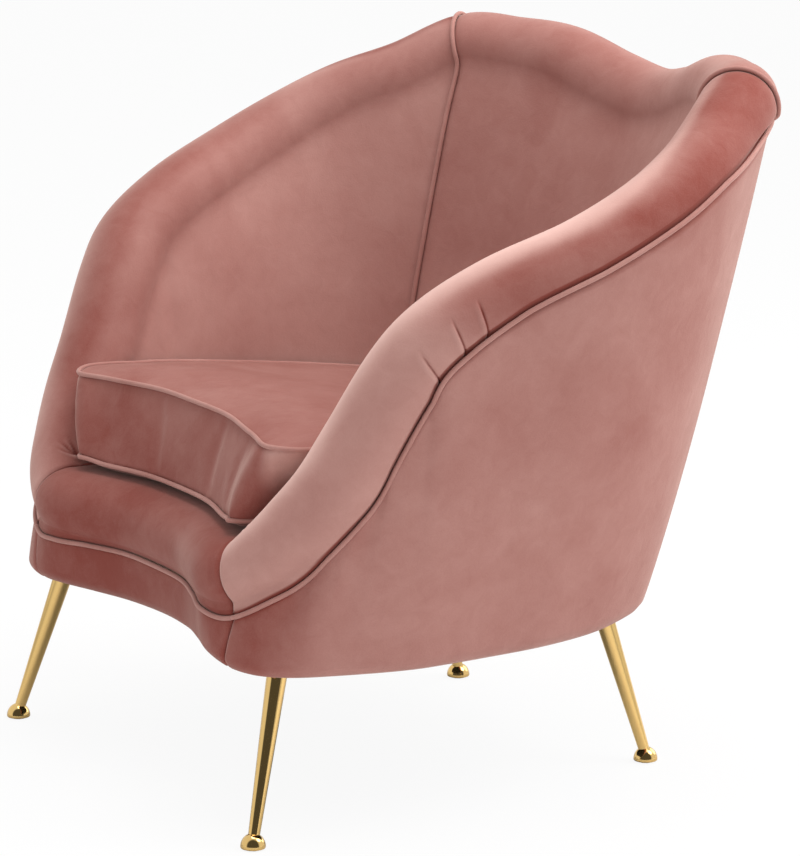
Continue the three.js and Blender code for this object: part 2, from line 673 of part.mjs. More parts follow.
// Legs with a stud into a corner block through a steel plate, in domed feet on glides
function addLeg(place, top, splay, railsNear) {
  const foot = { x: top.x + splay.x, y: top.y + splay.y };
  const seat = new THREE.Vector3(foot.x, foot.y, legSeat);
  const head = new THREE.Vector3(top.x, top.y, plateBottom - gap);
  const axis = head.clone().sub(seat).normalize();
  const past = head.clone().addScaledVector(axis, legRadiusTop);
  const above = box(plateSize, plateSize, plateSize, top.x, top.y, head.z + plateSize / 2);
  const shaft = cut(taper(seat, past, legRadiusFoot, legRadiusTop), above);
  const stud = pin(studRadius, studReach + legSeat, top.x, top.y, head.z - legSeat);
  addPair(`leg_${place}`, joined(shaft, stud), brass);
  const studHole = pin(studRadius + gap, studReach + legSeat, top.x, top.y, head.z - legSeat + gap);
  const plate = box(plateSize, plateSize, plateThickness, 0, 0, 0).rotateZ(Math.PI / 4)
    .translate(top.x, top.y, plateBottom + plateThickness / 2);
  addPair(`plate_${place}`, cut(plate, studHole), steel);
  const block = box(blockSize, blockSize, blockHeight, 0, 0, 0).rotateZ(Math.PI / 4)
    .translate(top.x, top.y, blockBottom + blockHeight / 2);
  addPair(`block_${place}`, cut(block, studHole, ...railsNear), timber);

  const profile = [[0, footClearance], [footRadius - footEdge, footClearance]];
  for (let k = 0; k <= domeRows; k += 1) {
    const angle = k / domeRows * Math.PI / 2;
    const height = footHeight - footClearance - footEdge;
    profile.push([k < domeRows ? footRadius * Math.cos(angle) : 0, footClearance + footEdge + height * Math.sin(angle)]);
  }
  const dome = new THREE.LatheGeometry(profile.map(([r, z]) => new THREE.Vector2(r, z)), circleSides)
    .rotateX(Math.PI / 2).translate(foot.x, foot.y, 0);
  const socket = taper(seat.clone().addScaledVector(axis, -gap), past, legRadiusFoot + gap, legRadiusTop + gap);
  const recess = pin(glideRadius + gap, glideDepth + gap, foot.x, foot.y, 0);
  addPair(`foot_${place}`, cut(dome, socket, recess), brass);
  addPair(`glide_${place}`, pin(glideRadius, glideDepth, foot.x, foot.y, 0), nylon);
}
addLeg('front', frontTop, frontSplay, [railSpace(noseSteps), railSpace(sideRailSteps)]);
addLeg('rear', rearTop, rearSplay, [railSpace(sideRailSteps), railSpace(backRailSteps)]);

// Plan outline of the cushion at a level between its lower and upper piping
const cushionBottom = deckTop + gap;
const cushionPipingLow = cushionBottom + cushionSkirt;
const cushionMiddleShare = -0.111;
const cushionMiddle = new THREE.Vector3(0, cushionMiddleShare * chairDepth, 0);
const backFlat = station(backFlatShare * backCentre).deck.y - cushionSideGap;
function cushionOutline(level) {
  const lean = cushionOverhang - level * cushionFrontLean;
  const half = cushionFrontShares.map((share) => station(share * backCentre)).map((s) => s.centre.clone().addScaledVector(s.out, lean));
  const corner = new THREE.Vector3(
    THREE.MathUtils.lerp(cushionCornerLowShares.x, cushionCornerHighShares.x, level) * chairWidth / 2,
    THREE.MathUtils.lerp(cushionCornerLowShares.y, cushionCornerHighShares.y, level) * chairDepth, 0);
  const sideGap = cushionSideGap - level * cushionFlare;
  const side = [];
  for (let t = cushionSideShare * backCentre; t <= backCentre; t += 1) {
    const s = station(t);
    const p = s.deck.clone().addScaledVector(s.out, -sideGap);
    side.push(p.setY(Math.min(p.y, backFlat)));
  }
  const atCorner = [movedTowards(corner, half[half.length - 1].setZ(0), cushionCornerReach), corner,
    movedTowards(corner, side[0].clone().setZ(0), cushionCornerReach)];
  const left = [...half, ...atCorner, ...side].map((p) => p.setZ(0));
  const right = left.slice(1, -1).map((p) => new THREE.Vector3(-p.x, p.y, 0));
  const loop = new THREE.CatmullRomCurve3([...left.reverse(), ...right], true, 'centripetal');
  loop.arcLengthDivisions = outlineSides * 20;
  return loop.getSpacedPoints(outlineSides).slice(0, outlineSides);
}

function ringAt(level, z, { share = 1, inset = 0 }) {
  const outline = cushionOutline(level);
  return outline.map((p, k) => {
    const before = outline[(k + outlineSides - 1) % outlineSides];
    const after = outline[(k + 1) % outlineSides];
    const inward = new THREE.Vector3(before.y - after.y, after.x - before.x, 0).normalize();
    inward.multiplyScalar(Math.sign(inward.dot(cushionMiddle.clone().sub(p))));
    return cushionMiddle.clone().lerp(p, share).addScaledVector(inward, inset).setZ(z);
  });
}

// Closed body through rings from the bottom up
function ringBody(rings, bottom, top) {
  const points = [...rings.flat(), cushionMiddle.clone().setZ(bottom), cushionMiddle.clone().setZ(top)];
  const low = points.length - 2;
  const high = points.length - 1;
  const last = (rings.length - 1) * outlineSides;
  const faces = [];
  for (let k = 0; k < outlineSides; k += 1) {
    const next = (k + 1) % outlineSides;
    faces.push([low, k, next], [high, last + next, last + k]);
    for (let r = 0; r < rings.length - 1; r += 1) {
      const [a, b] = [r * outlineSides + k, r * outlineSides + next];
      faces.push([a, a + outlineSides, b], [b, a + outlineSides, b + outlineSides]);
    }
  }
  return geometryFrom(points, faces);
}

const cushionTopPiping = cushionPipingLow + cushionBorder;
const bandMiddle = cushionPipingLow + cushionBorder / 2;
const bandHalf = cushionBandHeight / 2;
const bandLevel = bandHalf / cushionBorder;
const crownPower = 2.5;
const crownAt = (share) => cushionTopPiping + cushionCrown * (1 - share ** crownPower);
const crownShares = [0.9, 0.7, 0.4];
const bottomShare = 0.9;
const cushionBody = ringBody([
  ringAt(0, cushionBottom, { share: bottomShare }),
  ringAt(0, cushionPipingLow, {}),
  ringAt(0.5 - bandLevel, bandMiddle - bandHalf, { inset: cushionDrawIn }),
  ringAt(0.5 + bandLevel, bandMiddle + bandHalf, { inset: cushionDrawIn }),
  ringAt(1, cushionTopPiping, {}),
  ...crownShares.map((share) => ringAt(1, crownAt(share), { share })),
], cushionBottom, crownAt(0));

// The same body grown or shrunk by a distance
function grown(geometry, distance) {
  const { position, normal } = geometry.attributes;
  const points = [];
  for (let k = 0; k < position.count; k += 1) {
    const outward = new THREE.Vector3().fromBufferAttribute(normal, k);
    points.push(new THREE.Vector3().fromBufferAttribute(position, k).addScaledVector(outward, distance));
  }
  const faces = [];
  for (let k = 0; k < geometry.index.count; k += 3) faces.push(Array.from(geometry.index.array.slice(k, k + 3)));
  return geometryFrom(points, faces);
}

const bandY = backFlat - cushionDrawIn;
const slot = box(zipLength, 4 * coverThickness, zipWidth, 0, bandY, bandMiddle);
add('cushion_cover', cut(cushionBody, grown(cushionBody, -coverThickness), slot), velvetSeat);
add('cushion_core', grown(cushionBody, -coverThickness - coreGap), foam);

function cushionPiping(level, z) {
  const ring = ringAt(level, z, { inset: -cushionPipingLift });
  const ends = [movedTowards(ring[0], ring[1], seamRoom), movedTowards(ring[0], ring[outlineSides - 1], seamRoom)];
  const loop = bar([ends[0], ...ring.slice(1), ends[1]], pipingRadius, outlineSides, pipingSides);
  return cut(loop, grown(cushionBody, gap));
}
add('cushion_piping_low', cushionPiping(0, cushionPipingLow), velvetSeat);
add('cushion_piping_high', cushionPiping(1, cushionTopPiping), velvetSeat);

// Zip in the cushion's rear border, with a slider that runs along it
const zipY = bandY - gap - zipThickness / 2;
add('cushion_zip', box(zipLength - 2 * gap, zipThickness, zipWidth - 2 * gap, 0, zipY, bandMiddle), nylon);
const sliderX = (zipLength - sliderLength) / 2;
const sliderY = bandY + gap + sliderThickness / 2;
const tabY = bandY + gap + sliderThickness - tabThickness / 2;
add('zip_slider', joined(
  box(sliderLength, sliderThickness, sliderHeight, sliderX, sliderY, bandMiddle),
  box(tabWidth, tabThickness, tabLength, sliderX, tabY, bandMiddle - tabLength / 2),
), steel);

// The floor's origin lies under the middle of the whole chair
const bounds = new THREE.Box3().setFromObject(chair);
for (const mesh of chair.children) mesh.geometry.translate(0, -(bounds.min.y + bounds.max.y) / 2, 0);

export default chair;
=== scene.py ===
"""Scallop back tub chair: a velvet shell with one rolled, piped edge from front corner to front
corner, a loose boxed cushion, and splayed brass legs on domed feet. Metres, +Z up."""
import json
import math
from collections import namedtuple
from functools import lru_cache

import bmesh
import bpy
from bpy.props import FloatProperty, FloatVectorProperty, PointerProperty
from bpy.types import Operator, Panel, PropertyGroup
from mathutils import Matrix, Vector, noise
from mathutils.bvhtree import BVHTree


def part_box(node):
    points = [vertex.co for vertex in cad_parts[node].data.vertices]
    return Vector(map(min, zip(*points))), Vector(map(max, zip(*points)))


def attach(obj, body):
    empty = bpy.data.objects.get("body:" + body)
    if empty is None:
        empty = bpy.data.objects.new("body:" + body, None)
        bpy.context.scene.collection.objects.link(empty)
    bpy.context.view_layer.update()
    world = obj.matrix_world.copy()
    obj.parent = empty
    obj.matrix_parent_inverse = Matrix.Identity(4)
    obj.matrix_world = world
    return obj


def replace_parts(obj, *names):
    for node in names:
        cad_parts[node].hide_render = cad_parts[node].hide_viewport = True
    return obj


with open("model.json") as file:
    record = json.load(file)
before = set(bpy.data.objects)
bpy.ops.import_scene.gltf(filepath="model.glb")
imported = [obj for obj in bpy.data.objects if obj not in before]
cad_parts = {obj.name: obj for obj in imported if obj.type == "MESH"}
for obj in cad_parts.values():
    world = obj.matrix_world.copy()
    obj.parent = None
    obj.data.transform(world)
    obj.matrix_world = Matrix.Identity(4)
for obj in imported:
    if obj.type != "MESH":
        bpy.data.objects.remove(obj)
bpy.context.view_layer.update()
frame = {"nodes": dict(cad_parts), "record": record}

bl_info = {
    "name": "Scallop Back Tub Chair",
    "version": (1, 0, 0),
    "blender": (4, 5, 0),
    "location": "View3D > Sidebar > Tub Chair",
    "description": "Upholsters a piped velvet tub chair over its packed frame",
    "category": "Object",
}

# The shell's shape

CHAIR_WIDTH = 0.900
CHAIR_DEPTH = 0.732
CHAIR_HEIGHT = 0.786
UNDERSIDE = 0.180
DECK_TOP = 0.311
ROLL_RADIUS = 0.044
PIPING_LIFT = 0.001
# The plan's middle lies this far in front of the middle of the whole chair
CENTRING = Vector((0, 0.003631, 0))

# Half of the shell's plan, from the middle of the front round the left side to the middle of the
# back: the roll's centre, its radius as a share of the roll's radius, the plan at the hem, the
# piping's angle on the roll, the plan at the deck and how far out the piping lies
STATIONS = (
    (0.000, -0.400, 0.343, 0.93, 0.000, -0.434, -45, 0.000, -0.305, 1.08),
    (0.171, -0.405, 0.343, 0.93, 0.171, -0.443, -46, 0.160, -0.308, 1.08),
    (0.318, -0.428, 0.343, 0.93, 0.308, -0.464, -46, 0.295, -0.320, 1.12),
    (0.421, -0.445, 0.343, 0.93, 0.421, -0.484, -45, 0.420, -0.419, 1.20),
    (0.496, -0.441, 0.348, 0.93, 0.518, -0.492, -48, 0.458, -0.392, 1.28),
    (0.565, -0.425, 0.378, 0.97, 0.594, -0.485, -52, 0.496, -0.365, 1.24),
    (0.623, -0.395, 0.420, 1.02, 0.653, -0.465, -58, 0.535, -0.340, 1.10),
    (0.675, -0.362, 0.469, 1.05, 0.699, -0.425, -57, 0.580, -0.312, 1.02),
    (0.711, -0.325, 0.535, 1.05, 0.733, -0.357, -55, 0.611, -0.275, 1.00),
    (0.763, -0.276, 0.628, 1.05, 0.758, -0.274, -50, 0.631, -0.229, 1.00),
    (0.807, -0.229, 0.683, 1.05, 0.758, -0.206, -30, 0.641, -0.176, 1.00),
    (0.848, -0.149, 0.731, 1.03, 0.748, -0.131, -19, 0.645, -0.108, 1.00),
    (0.897, -0.033, 0.777, 1.03, 0.724, -0.026, -9, 0.645, -0.033, 1.00),
    (0.897, 0.074, 0.823, 1.03, 0.675, 0.072, -1, 0.636, 0.035, 1.00),
    (0.848, 0.163, 0.864, 1.03, 0.611, 0.143, 6, 0.616, 0.095, 1.00),
    (0.753, 0.243, 0.898, 1.02, 0.543, 0.196, 0, 0.601, 0.130, 0.97),
    (0.650, 0.321, 0.943, 0.97, 0.452, 0.235, -22, 0.577, 0.155, 0.90),
    (0.518, 0.367, 0.943, 0.97, 0.330, 0.259, -28, 0.440, 0.182, 0.92),
    (0.367, 0.404, 0.935, 1.00, 0.208, 0.271, -30, 0.293, 0.200, 0.97),
    (0.183, 0.430, 0.907, 1.00, 0.098, 0.277, -30, 0.147, 0.211, 1.00),
    (0.000, 0.440, 0.892, 1.00, 0.000, 0.279, -30, 0.000, 0.215, 1.00),
)
MIRRORED = (0, 4, 7)
BACK_CENTRE = len(STATIONS) - 1
JUNCTION = 4
COLLAR = 16
FAR_COLLAR = 2 * BACK_CENTRE - COLLAR

Section = namedtuple("Section", "centre radius out up base deck piping_angle piping_reach")


def clamp(value, low=0.0, high=1.0):
    return max(low, min(high, value))


def blend(a, b, share):
    return a + (b - a) * share


def ease(share):
    share = clamp(share)
    return share * share * (3 - 2 * share)


def rising(value, start, end):
    """0 up to the start, 1 from the end on, and a soft change between them."""
    return ease((value - start) / (end - start))


def station_row(index):
    """One row of the table, mirrored past its two ends."""
    past = index > BACK_CENTRE
    row = STATIONS[abs(2 * BACK_CENTRE - index) if past else abs(index)]
    sign = -1 if index < 0 or past else 1
    return [sign * v if c in MIRRORED else v for c, v in enumerate(row)]


@lru_cache(maxsize=None)
def smooth_row(t):
    """A smooth row between the stations."""
    start = math.floor(t)
    f = t - start
    rows = [station_row(start + k) for k in (-1, 0, 1, 2)]
    return [
        0.5 * (2 * b + (c - a) * f + (2 * a - 5 * b + 4 * c - d) * f**2 + (3 * b - a - 3 * c + d) * f**3)
        for a, b, c, d in zip(*rows)
    ]


def roll_centre(t):
    row = smooth_row(t)
    return Vector((row[0] * CHAIR_WIDTH / 2, row[1] * CHAIR_DEPTH, row[2] * CHAIR_HEIGHT)) + CENTRING


@lru_cache(maxsize=None)
def section(t):
    """The roll's centre, radius and cross directions, and the plan at the hem and the deck."""
    row = smooth_row(t)
    along = (roll_centre(t + 0.001) - roll_centre(t - 0.001)).normalized()
    out = Vector((along.y, -along.x, 0)).normalized()
    return Section(
        centre=roll_centre(t),
        radius=row[3] * ROLL_RADIUS,
        out=out,
        up=out.cross(along),
        base=Vector((row[4] * CHAIR_WIDTH / 2, row[5] * CHAIR_DEPTH, UNDERSIDE)) + CENTRING,
        deck=Vector((row[7] * CHAIR_WIDTH / 2, row[8] * CHAIR_DEPTH, DECK_TOP)) + CENTRING,
        piping_angle=row[6],
        piping_reach=row[9],
    )


def on_roll(s, degrees, reach):
    angle = math.radians(degrees)
    return s.centre + s.out * math.cos(angle) * reach + s.up * math.sin(angle) * reach


def piping_point(s):
    return on_roll(s, s.piping_angle, s.radius * s.piping_reach)


def piping_centre(s):
    return on_roll(s, s.piping_angle, s.radius * s.piping_reach + PIPING_LIFT)


def roll_rows(s, end, count):
    """Points round the roll to an angle, from the seam allowance tucked under the piping."""
    settled = 12
    tucked = math.degrees(SEAM_TUCK / s.radius)
    points = []
    for k in range(-TUCK_ROWS, count + 1):
        turn = tucked * k / TUCK_ROWS if k < 0 else (end - s.piping_angle) * (k / count) ** 1.25
        spare = (s.piping_reach - 1) * (1 - ease(turn / settled))
        points.append(on_roll(s, s.piping_angle + turn, s.radius * (1 + spare)))
    return points


def curve_between(start, start_way, end, end_way, count):
    """Points on a smooth curve that leaves one point and reaches another in given ways."""
    points = []
    for k in range(1, count + 1):
        f = k / count
        points.append(
            start * (2 * f**3 - 3 * f**2 + 1)
            + start_way * (f**3 - 2 * f**2 + f)
            + end * (3 * f**2 - 2 * f**3)
            + end_way * (f**3 - f**2)
        )
    return points


def pad_curve(start, leaving, low, facing, bulge, count):
    """Points down a pad that turns smoothly out of the roll and fills out towards the sitter."""
    chord = low - start
    turn = leaving - chord.normalized()
    points = []
    for k in range(1, count + 1):
        f = (k / count) ** 1.3
        way = chord.length * f
        points.append(
            start + chord * f + facing * bulge * 4 * f * (1 - f) + turn * way * math.exp(-way / ROLL_TURN))
    return points


SEAM_TUCK = 0.005
TUCK_ROWS = 4
ROLL_ROWS = 70
PAD_ROWS = 26
LIP_ROWS = 36
FLAT_ROWS = 10
PANEL_ROWS = 40
ROLL_END = 190
ROLL_TURN = 0.016
PAD_BULGE = 0.007
DECK_TUCK = 0.020


def inner_rows(s):
    """From the piping round the roll and down to behind the cushion."""
    dip = clamp((DECK_TOP - s.centre.z) / s.radius, -1, 1)
    end = min(ROLL_END, 180 - math.degrees(math.asin(dip)))
    points = roll_rows(s, end, ROLL_ROWS)
    start = points[-1]
    low = s.deck - Vector((0, 0, DECK_TUCK))
    down = (low - start).normalized()
    facing = -s.out
    facing = (facing - down * facing.dot(down)).normalized()
    angle = math.radians(end)
    leaving = s.up * math.cos(angle) - s.out * math.sin(angle)
    bulge = PAD_BULGE * clamp((start.z - low.z) / (CHAIR_HEIGHT / 4))
    return points + pad_curve(start, leaving, low, facing, bulge, PAD_ROWS)


NOSE_FLAT = (0.066, 0.034)


def nose_rows(s, t):
    """From the apron's piping over the rounded lip and flat onto the deck."""
    points = roll_rows(s, 90, LIP_ROWS)
    flat = blend(*NOSE_FLAT, (t / JUNCTION) ** 2)
    crest = points[-1]
    return points + [crest - s.out * flat * (k / FLAT_ROWS) for k in range(1, FLAT_ROWS + 1)]


PANEL_BULGE = 0.008
HEM_INSET = 0.009
HEM_HEIGHT = 0.014
HEM_TURN = 0.012
HEM_ROWS = 4


def panel_point(s, share):
    """A point on the outside panel, from the hem at 0 to the piping at 1."""
    top = piping_point(s)
    rise = share * (top.z - UNDERSIDE)
    rear = clamp(((s.centre.y - CENTRING.y) / CHAIR_DEPTH + 0.27) / 0.45)
    swell = PANEL_BULGE * blend(0.35, 1, rear) * math.sin(math.pi * share**0.7)
    hem = HEM_INSET * max(0, 1 - rise / HEM_HEIGHT) ** 2
    return s.base.lerp(top, share) + s.out * (swell - hem)


def panel_rows(s):
    """From the edge turned under the frame, round the hem and up to the piping."""
    hem = panel_point(s, 0)
    turned = [hem - s.out * HEM_TURN * (1 - k / HEM_ROWS) for k in range(HEM_ROWS)]
    return turned + [panel_point(s, (k / PANEL_ROWS) ** 1.25) for k in range(PANEL_ROWS + 1)]


def even_stations(start, end, count, closer=()):
    """Stations evenly spread along the piping, with more of them near the places in closer."""
    fine = 1200
    stations = [blend(start, end, k / fine) for k in range(fine + 1)]
    edges = [(piping_centre(s), s.base) for s in map(section, stations)]
    weights = [0.0]
    for k in range(fine):
        near = sum(math.exp(-(((stations[k] - place) / 0.2) ** 2)) for place in closer)
        step = max((b - a).length for a, b in zip(edges[k], edges[k + 1]))
        weights.append(weights[-1] + step * (1 + 9 * near))
    found, k = [], 0
    for n in range(count + 1):
        goal = weights[-1] * n / count
        while k < fine - 1 and weights[k + 1] < goal:
            k += 1
        part = (goal - weights[k]) / (weights[k + 1] - weights[k])
        found.append(blend(stations[k], stations[k + 1], clamp(part)))
    return found


# Sizes and colours


class VelvetSettings(PropertyGroup):
    # The two ends of the velvet's painted light: the rose of the darkest painted shade, then the rose of the
    # palest painted light and sheen
    painted_shade_rose: FloatVectorProperty(
        name="Painted shade rose", description="The pile's colour where it stands towards you", subtype="COLOR",
        size=3, min=0, max=1, default=(0.250, 0.060, 0.046))
    painted_light_rose: FloatVectorProperty(
        name="Painted light rose", description="The pile's colour where it is brushed flat", subtype="COLOR",
        size=3, min=0, max=1, default=(0.74, 0.455, 0.400))
    sheen: FloatVectorProperty(
        name="Sheen", description="The pale light that the pile's tips catch", subtype="COLOR",
        size=3, min=0, max=1, default=(0.39, 0.32, 0.285))
    sheen_weight: FloatProperty(
        name="Sheen weight", description="How much light the pile's tips catch", min=0, max=1, default=1.0)
    sheen_roughness: FloatProperty(
        name="Sheen roughness", description="How far the sheen spreads from the edges", min=0, max=1,
        default=0.4)
    patch_size: FloatProperty(
        name="Patch size", description="Width of a brushed patch", subtype="DISTANCE", min=0.01, max=0.5,
        default=0.10)


class ShellSettings(PropertyGroup):
    piping_radius: FloatProperty(
        name="Piping radius", description="Half of the piping's thickness", subtype="DISTANCE",
        min=0.001, max=0.006, default=0.0026)
    groove_depth: FloatProperty(
        name="Groove depth", description="How deep the covers dip beside the piping", subtype="DISTANCE",
        min=0, max=0.008, default=0.0032)
    groove_width: FloatProperty(
        name="Groove width", description="How wide that dip is", subtype="DISTANCE", min=0.001, max=0.02,
        default=0.0060)
    seam_depth: FloatProperty(
        name="Seam depth", description="How deep the covers dip at a plain seam", subtype="DISTANCE",
        min=0, max=0.006, default=0.0028)
    seam_width: FloatProperty(
        name="Seam width", description="How wide that dip is", subtype="DISTANCE", min=0.0005, max=0.01,
        default=0.0028)
    pad_thickness: FloatProperty(
        name="Pad thickness", description="Cover and foam together", subtype="DISTANCE", min=0.005,
        max=0.03, default=0.0225)
    cover_thickness: FloatProperty(
        name="Cover thickness", description="Velvet with its wadding on the outside panels",
        subtype="DISTANCE", min=0.0005, max=0.005, default=0.0025)
    pleat_depth: FloatProperty(
        name="Pleat depth", description="Depth of the pleats on the shoulders", subtype="DISTANCE",
        min=0, max=0.006, default=0.0024)


class CushionSettings(PropertyGroup):
    border: FloatProperty(
        name="Border height", description="Between the two pipings", subtype="DISTANCE", min=0.04,
        max=0.16, default=0.089)
    crown: FloatProperty(
        name="Crown", description="How far the top rises before it is stuffed", subtype="DISTANCE",
        min=0, max=0.06, default=0.017)
    pressure: FloatProperty(
        name="Stuffing", description="Pressure that fills the cover", min=0, max=12, default=4)
    give: FloatProperty(
        name="Give", description="The most that the cover moves as it fills", subtype="DISTANCE",
        min=0, max=0.03, default=0.024)
    voxel: FloatProperty(
        name="Cloth cell", description="Size of the cloth's cells as it fills", subtype="DISTANCE",
        min=0.004, max=0.006, default=0.0055)


class MetalSettings(PropertyGroup):
    brass: FloatVectorProperty(
        name="Brass", description="Colour of the polished legs", subtype="COLOR", size=3, min=0, max=1,
        default=(0.74, 0.50, 0.19))
    brass_roughness: FloatProperty(
        name="Brass roughness", description="How blurred its reflections are", min=0, max=1, default=0.08)


class StageSettings(PropertyGroup):
    floor: FloatVectorProperty(
        name="Floor", description="Colour of the studio floor", subtype="COLOR", size=3, min=0, max=1,
        default=(0.9, 0.9, 0.9))
    world: FloatProperty(
        name="Room light", description="Light from all round", min=0, max=1.5, default=0.66)
    dark_end: FloatProperty(
        name="Dark end", description="How bright the room behind the camera shows in polished metal", min=0,
        max=1, default=0.10)
    key: FloatProperty(
        name="Key light", description="Power of the large lamp at the side", subtype="POWER",
        unit="POWER", min=0, max=400, default=52)
    rim: FloatProperty(
        name="Rim light", description="Power of the lamp behind the side", subtype="POWER",
        unit="POWER", min=0, max=400, default=24)
    top: FloatProperty(
        name="Top light", description="Power of the lamp overhead", subtype="POWER", unit="POWER",
        min=0, max=400, default=52)


# Finishes


class Value:
    """A socket of a finish, whose arithmetic adds the Math nodes."""

    def __init__(self, finish, socket):
        self.finish = finish
        self.socket = socket

    def maths(self, operation, *terms):
        return self.finish.node("ShaderNodeMath", {"operation": operation}, dict(enumerate(terms)))

    def __add__(self, other):
        return self.maths("ADD", self, other)

    def __sub__(self, other):
        return self.maths("SUBTRACT", self, other)

    def __rsub__(self, other):
        return self.maths("SUBTRACT", other, self)

    def __mul__(self, other):
        return self.maths("MULTIPLY", self, other)

    __radd__ = __add__
    __rmul__ = __mul__


class Room:
    """A node tree, as the studio's light uses it."""

    def __init__(self, tree):
        self.tree = tree

    def node(self, kind, settings, values, output=0):
        """Adds a node, with its settings first and then its values and links."""
        made = self.tree.nodes.new(kind)
        for key, value in settings.items():
            if key == "stops":
                ramp = made.color_ramp.elements
                for place in range(len(value) - len(ramp)):
                    ramp.new(0.5)
                for stop, (place, colour) in zip(ramp, value):
                    stop.position, stop.color = place, (*colour, 1)
            else:
                setattr(made, key, value)
        for key, value in values.items():
            self.feed(made.inputs[key], value)
        return Value(self, made.outputs[output])

    def feed(self, socket, value):
        if isinstance(value, Value):
            self.tree.links.new(value.socket, socket)
        elif hasattr(value, "__len__") and socket.type == "RGBA":
            socket.default_value = (*value[:3], 1)
        else:
            socket.default_value = value


class Finish(Room):
    """A material, its nodes and the shader that its colour, bump and roughness feed."""

    def __init__(self, name):
        self.material = bpy.data.materials.new(name)
        self.material.use_nodes = True
        super().__init__(self.material.node_tree)
        self.shader = self.tree.nodes["Principled BSDF"]

    def set(self, **values):
        """Sets the shader's sockets by their names, written with underscores."""
        for key, value in values.items():
            self.feed(self.shader.inputs[key.replace("_", " ")], value)

    def place(self):
        return self.node("ShaderNodeTexCoord", {}, {}, "Object")

    def grain(self, size, detail=2.0, rough=0.5, warp=0.0, place=None):
        """Soft noise whose patches are of a size in metres."""
        return self.node(
            "ShaderNodeTexNoise", {"noise_dimensions": "3D"},
            {"Vector": place or self.place(), "Scale": 1 / size, "Detail": detail, "Roughness": rough,
             "Distortion": warp})

    def mix(self, share, first, second):
        return self.node(
            "ShaderNodeMix", {"data_type": "RGBA"}, {0: share, 6: first, 7: second}, 2)

    def bump(self, height, depth):
        return self.node("ShaderNodeBump", {}, {"Height": height, "Distance": depth, "Strength": 1.0})


# How much the brushed patches, the strokes in them and the pile itself change the tone
PATCH_TONE = 0.33
STROKE_TONE = 0.14
PILE_TONE = 0.10
STROKES_ACROSS_PATCH = 5
PILE_SIZE = 0.0016
NAP_DEPTH = 0.0004


def velvet(name):
    """Short rose pile with painted light and shade from its tone attribute, in brushed patches and fine
    streaks.
    """
    sizes = bpy.context.scene.tub_velvet
    finish = Finish(name)
    # Painted light and shade: this tone attribute mixes the rose from its darkest painted shade to its palest
    # painted light
    lay = finish.node("ShaderNodeAttribute", {"attribute_name": "lay"}, {}, "Fac")
    patches = finish.grain(sizes.patch_size, 3.0, 0.55, 0.5)
    strokes = finish.grain(sizes.patch_size / STROKES_ACROSS_PATCH, 4.0, 0.6, 0.8)
    pile = finish.grain(PILE_SIZE, 2.0, 0.6)
    tone = lay + (patches - 0.5) * PATCH_TONE + (strokes - 0.5) * STROKE_TONE + (pile - 0.5) * PILE_TONE
    colour = finish.mix(tone, tuple(sizes.painted_shade_rose), tuple(sizes.painted_light_rose))
    relief = pile * 0.5 + strokes
    finish.set(
        Base_Color=colour, Roughness=0.92, Specular_IOR_Level=0.15, Sheen_Weight=sizes.sheen_weight,
        Sheen_Roughness=sizes.sheen_roughness, Sheen_Tint=tuple(sizes.sheen),
        Normal=finish.bump(relief, NAP_DEPTH))
    return finish.material


def brass():
    """Polished, lacquered brass with faint polishing marks."""
    sizes = bpy.context.scene.tub_metal
    finish = Finish("polished brass")
    clouds = finish.grain(0.03, 2.0)
    colour = finish.mix(clouds, tuple(sizes.brass), tuple(c * 0.93 for c in sizes.brass))
    finish.set(
        Base_Color=colour, Metallic=1.0, Roughness=clouds * 0.05 + (sizes.brass_roughness - 0.02),
        Normal=finish.bump(finish.grain(0.004, 2.0), 0.00002))
    return finish.material


def steel():
    """Zinc plated steel."""
    finish = Finish("zinc plated steel")
    clouds = finish.grain(0.006, 3.0)
    colour = finish.mix(clouds, (0.42, 0.43, 0.44), (0.55, 0.56, 0.57))
    finish.set(Base_Color=colour, Metallic=1.0, Roughness=clouds * 0.2 + 0.28)
    return finish.material


def timber():
    """Sawn hardwood with long grain."""
    finish = Finish("sawn hardwood")
    along = finish.node("ShaderNodeMapping", {}, {"Vector": finish.place(), "Scale": (1, 1, 6)})
    rings = finish.grain(0.05, 5.0, 0.6, 1.2, along)
    fibre = finish.grain(0.003, 3.0, 0.7, 0.0, along)
    colour = finish.node(
        "ShaderNodeValToRGB", {"stops": ((0.3, (0.36, 0.22, 0.11)), (0.7, (0.60, 0.41, 0.22)))},
        {"Fac": rings * 0.8 + fibre * 0.25})
    finish.set(Base_Color=colour, Roughness=fibre * 0.2 + 0.6, Normal=finish.bump(fibre, 0.0003))
    return finish.material


def foam():
    """Open-cell upholstery foam."""
    finish = Finish("upholstery foam")
    cells = finish.node(
        "ShaderNodeTexVoronoi", {"feature": "F1"}, {"Vector": finish.place(), "Scale": 700.0})
    colour = finish.mix(cells, (0.62, 0.54, 0.38), (0.80, 0.73, 0.56))
    finish.set(Base_Color=colour, Roughness=0.95, Normal=finish.bump(cells, 0.0004))
    return finish.material


def woven(name, dark, light, pitch, depth=0.0003):
    """Plain cloth with crossing threads."""
    finish = Finish(name)
    place = finish.place()
    threads = [
        finish.node(
            "ShaderNodeTexWave", {"wave_type": "BANDS", "bands_direction": way},
            {"Vector": place, "Scale": 0.314 / pitch, "Distortion": 0.6, "Detail": 1.0}, "Fac")
        for way in ("X", "Y")
    ]
    weave = threads[0] * threads[1]
    slub = finish.grain(pitch * 12, 3.0)
    colour = finish.mix(weave * 0.7 + slub * 0.3, dark, light)
    finish.set(Base_Color=colour, Roughness=0.9, Normal=finish.bump(weave, depth))
    return finish.material


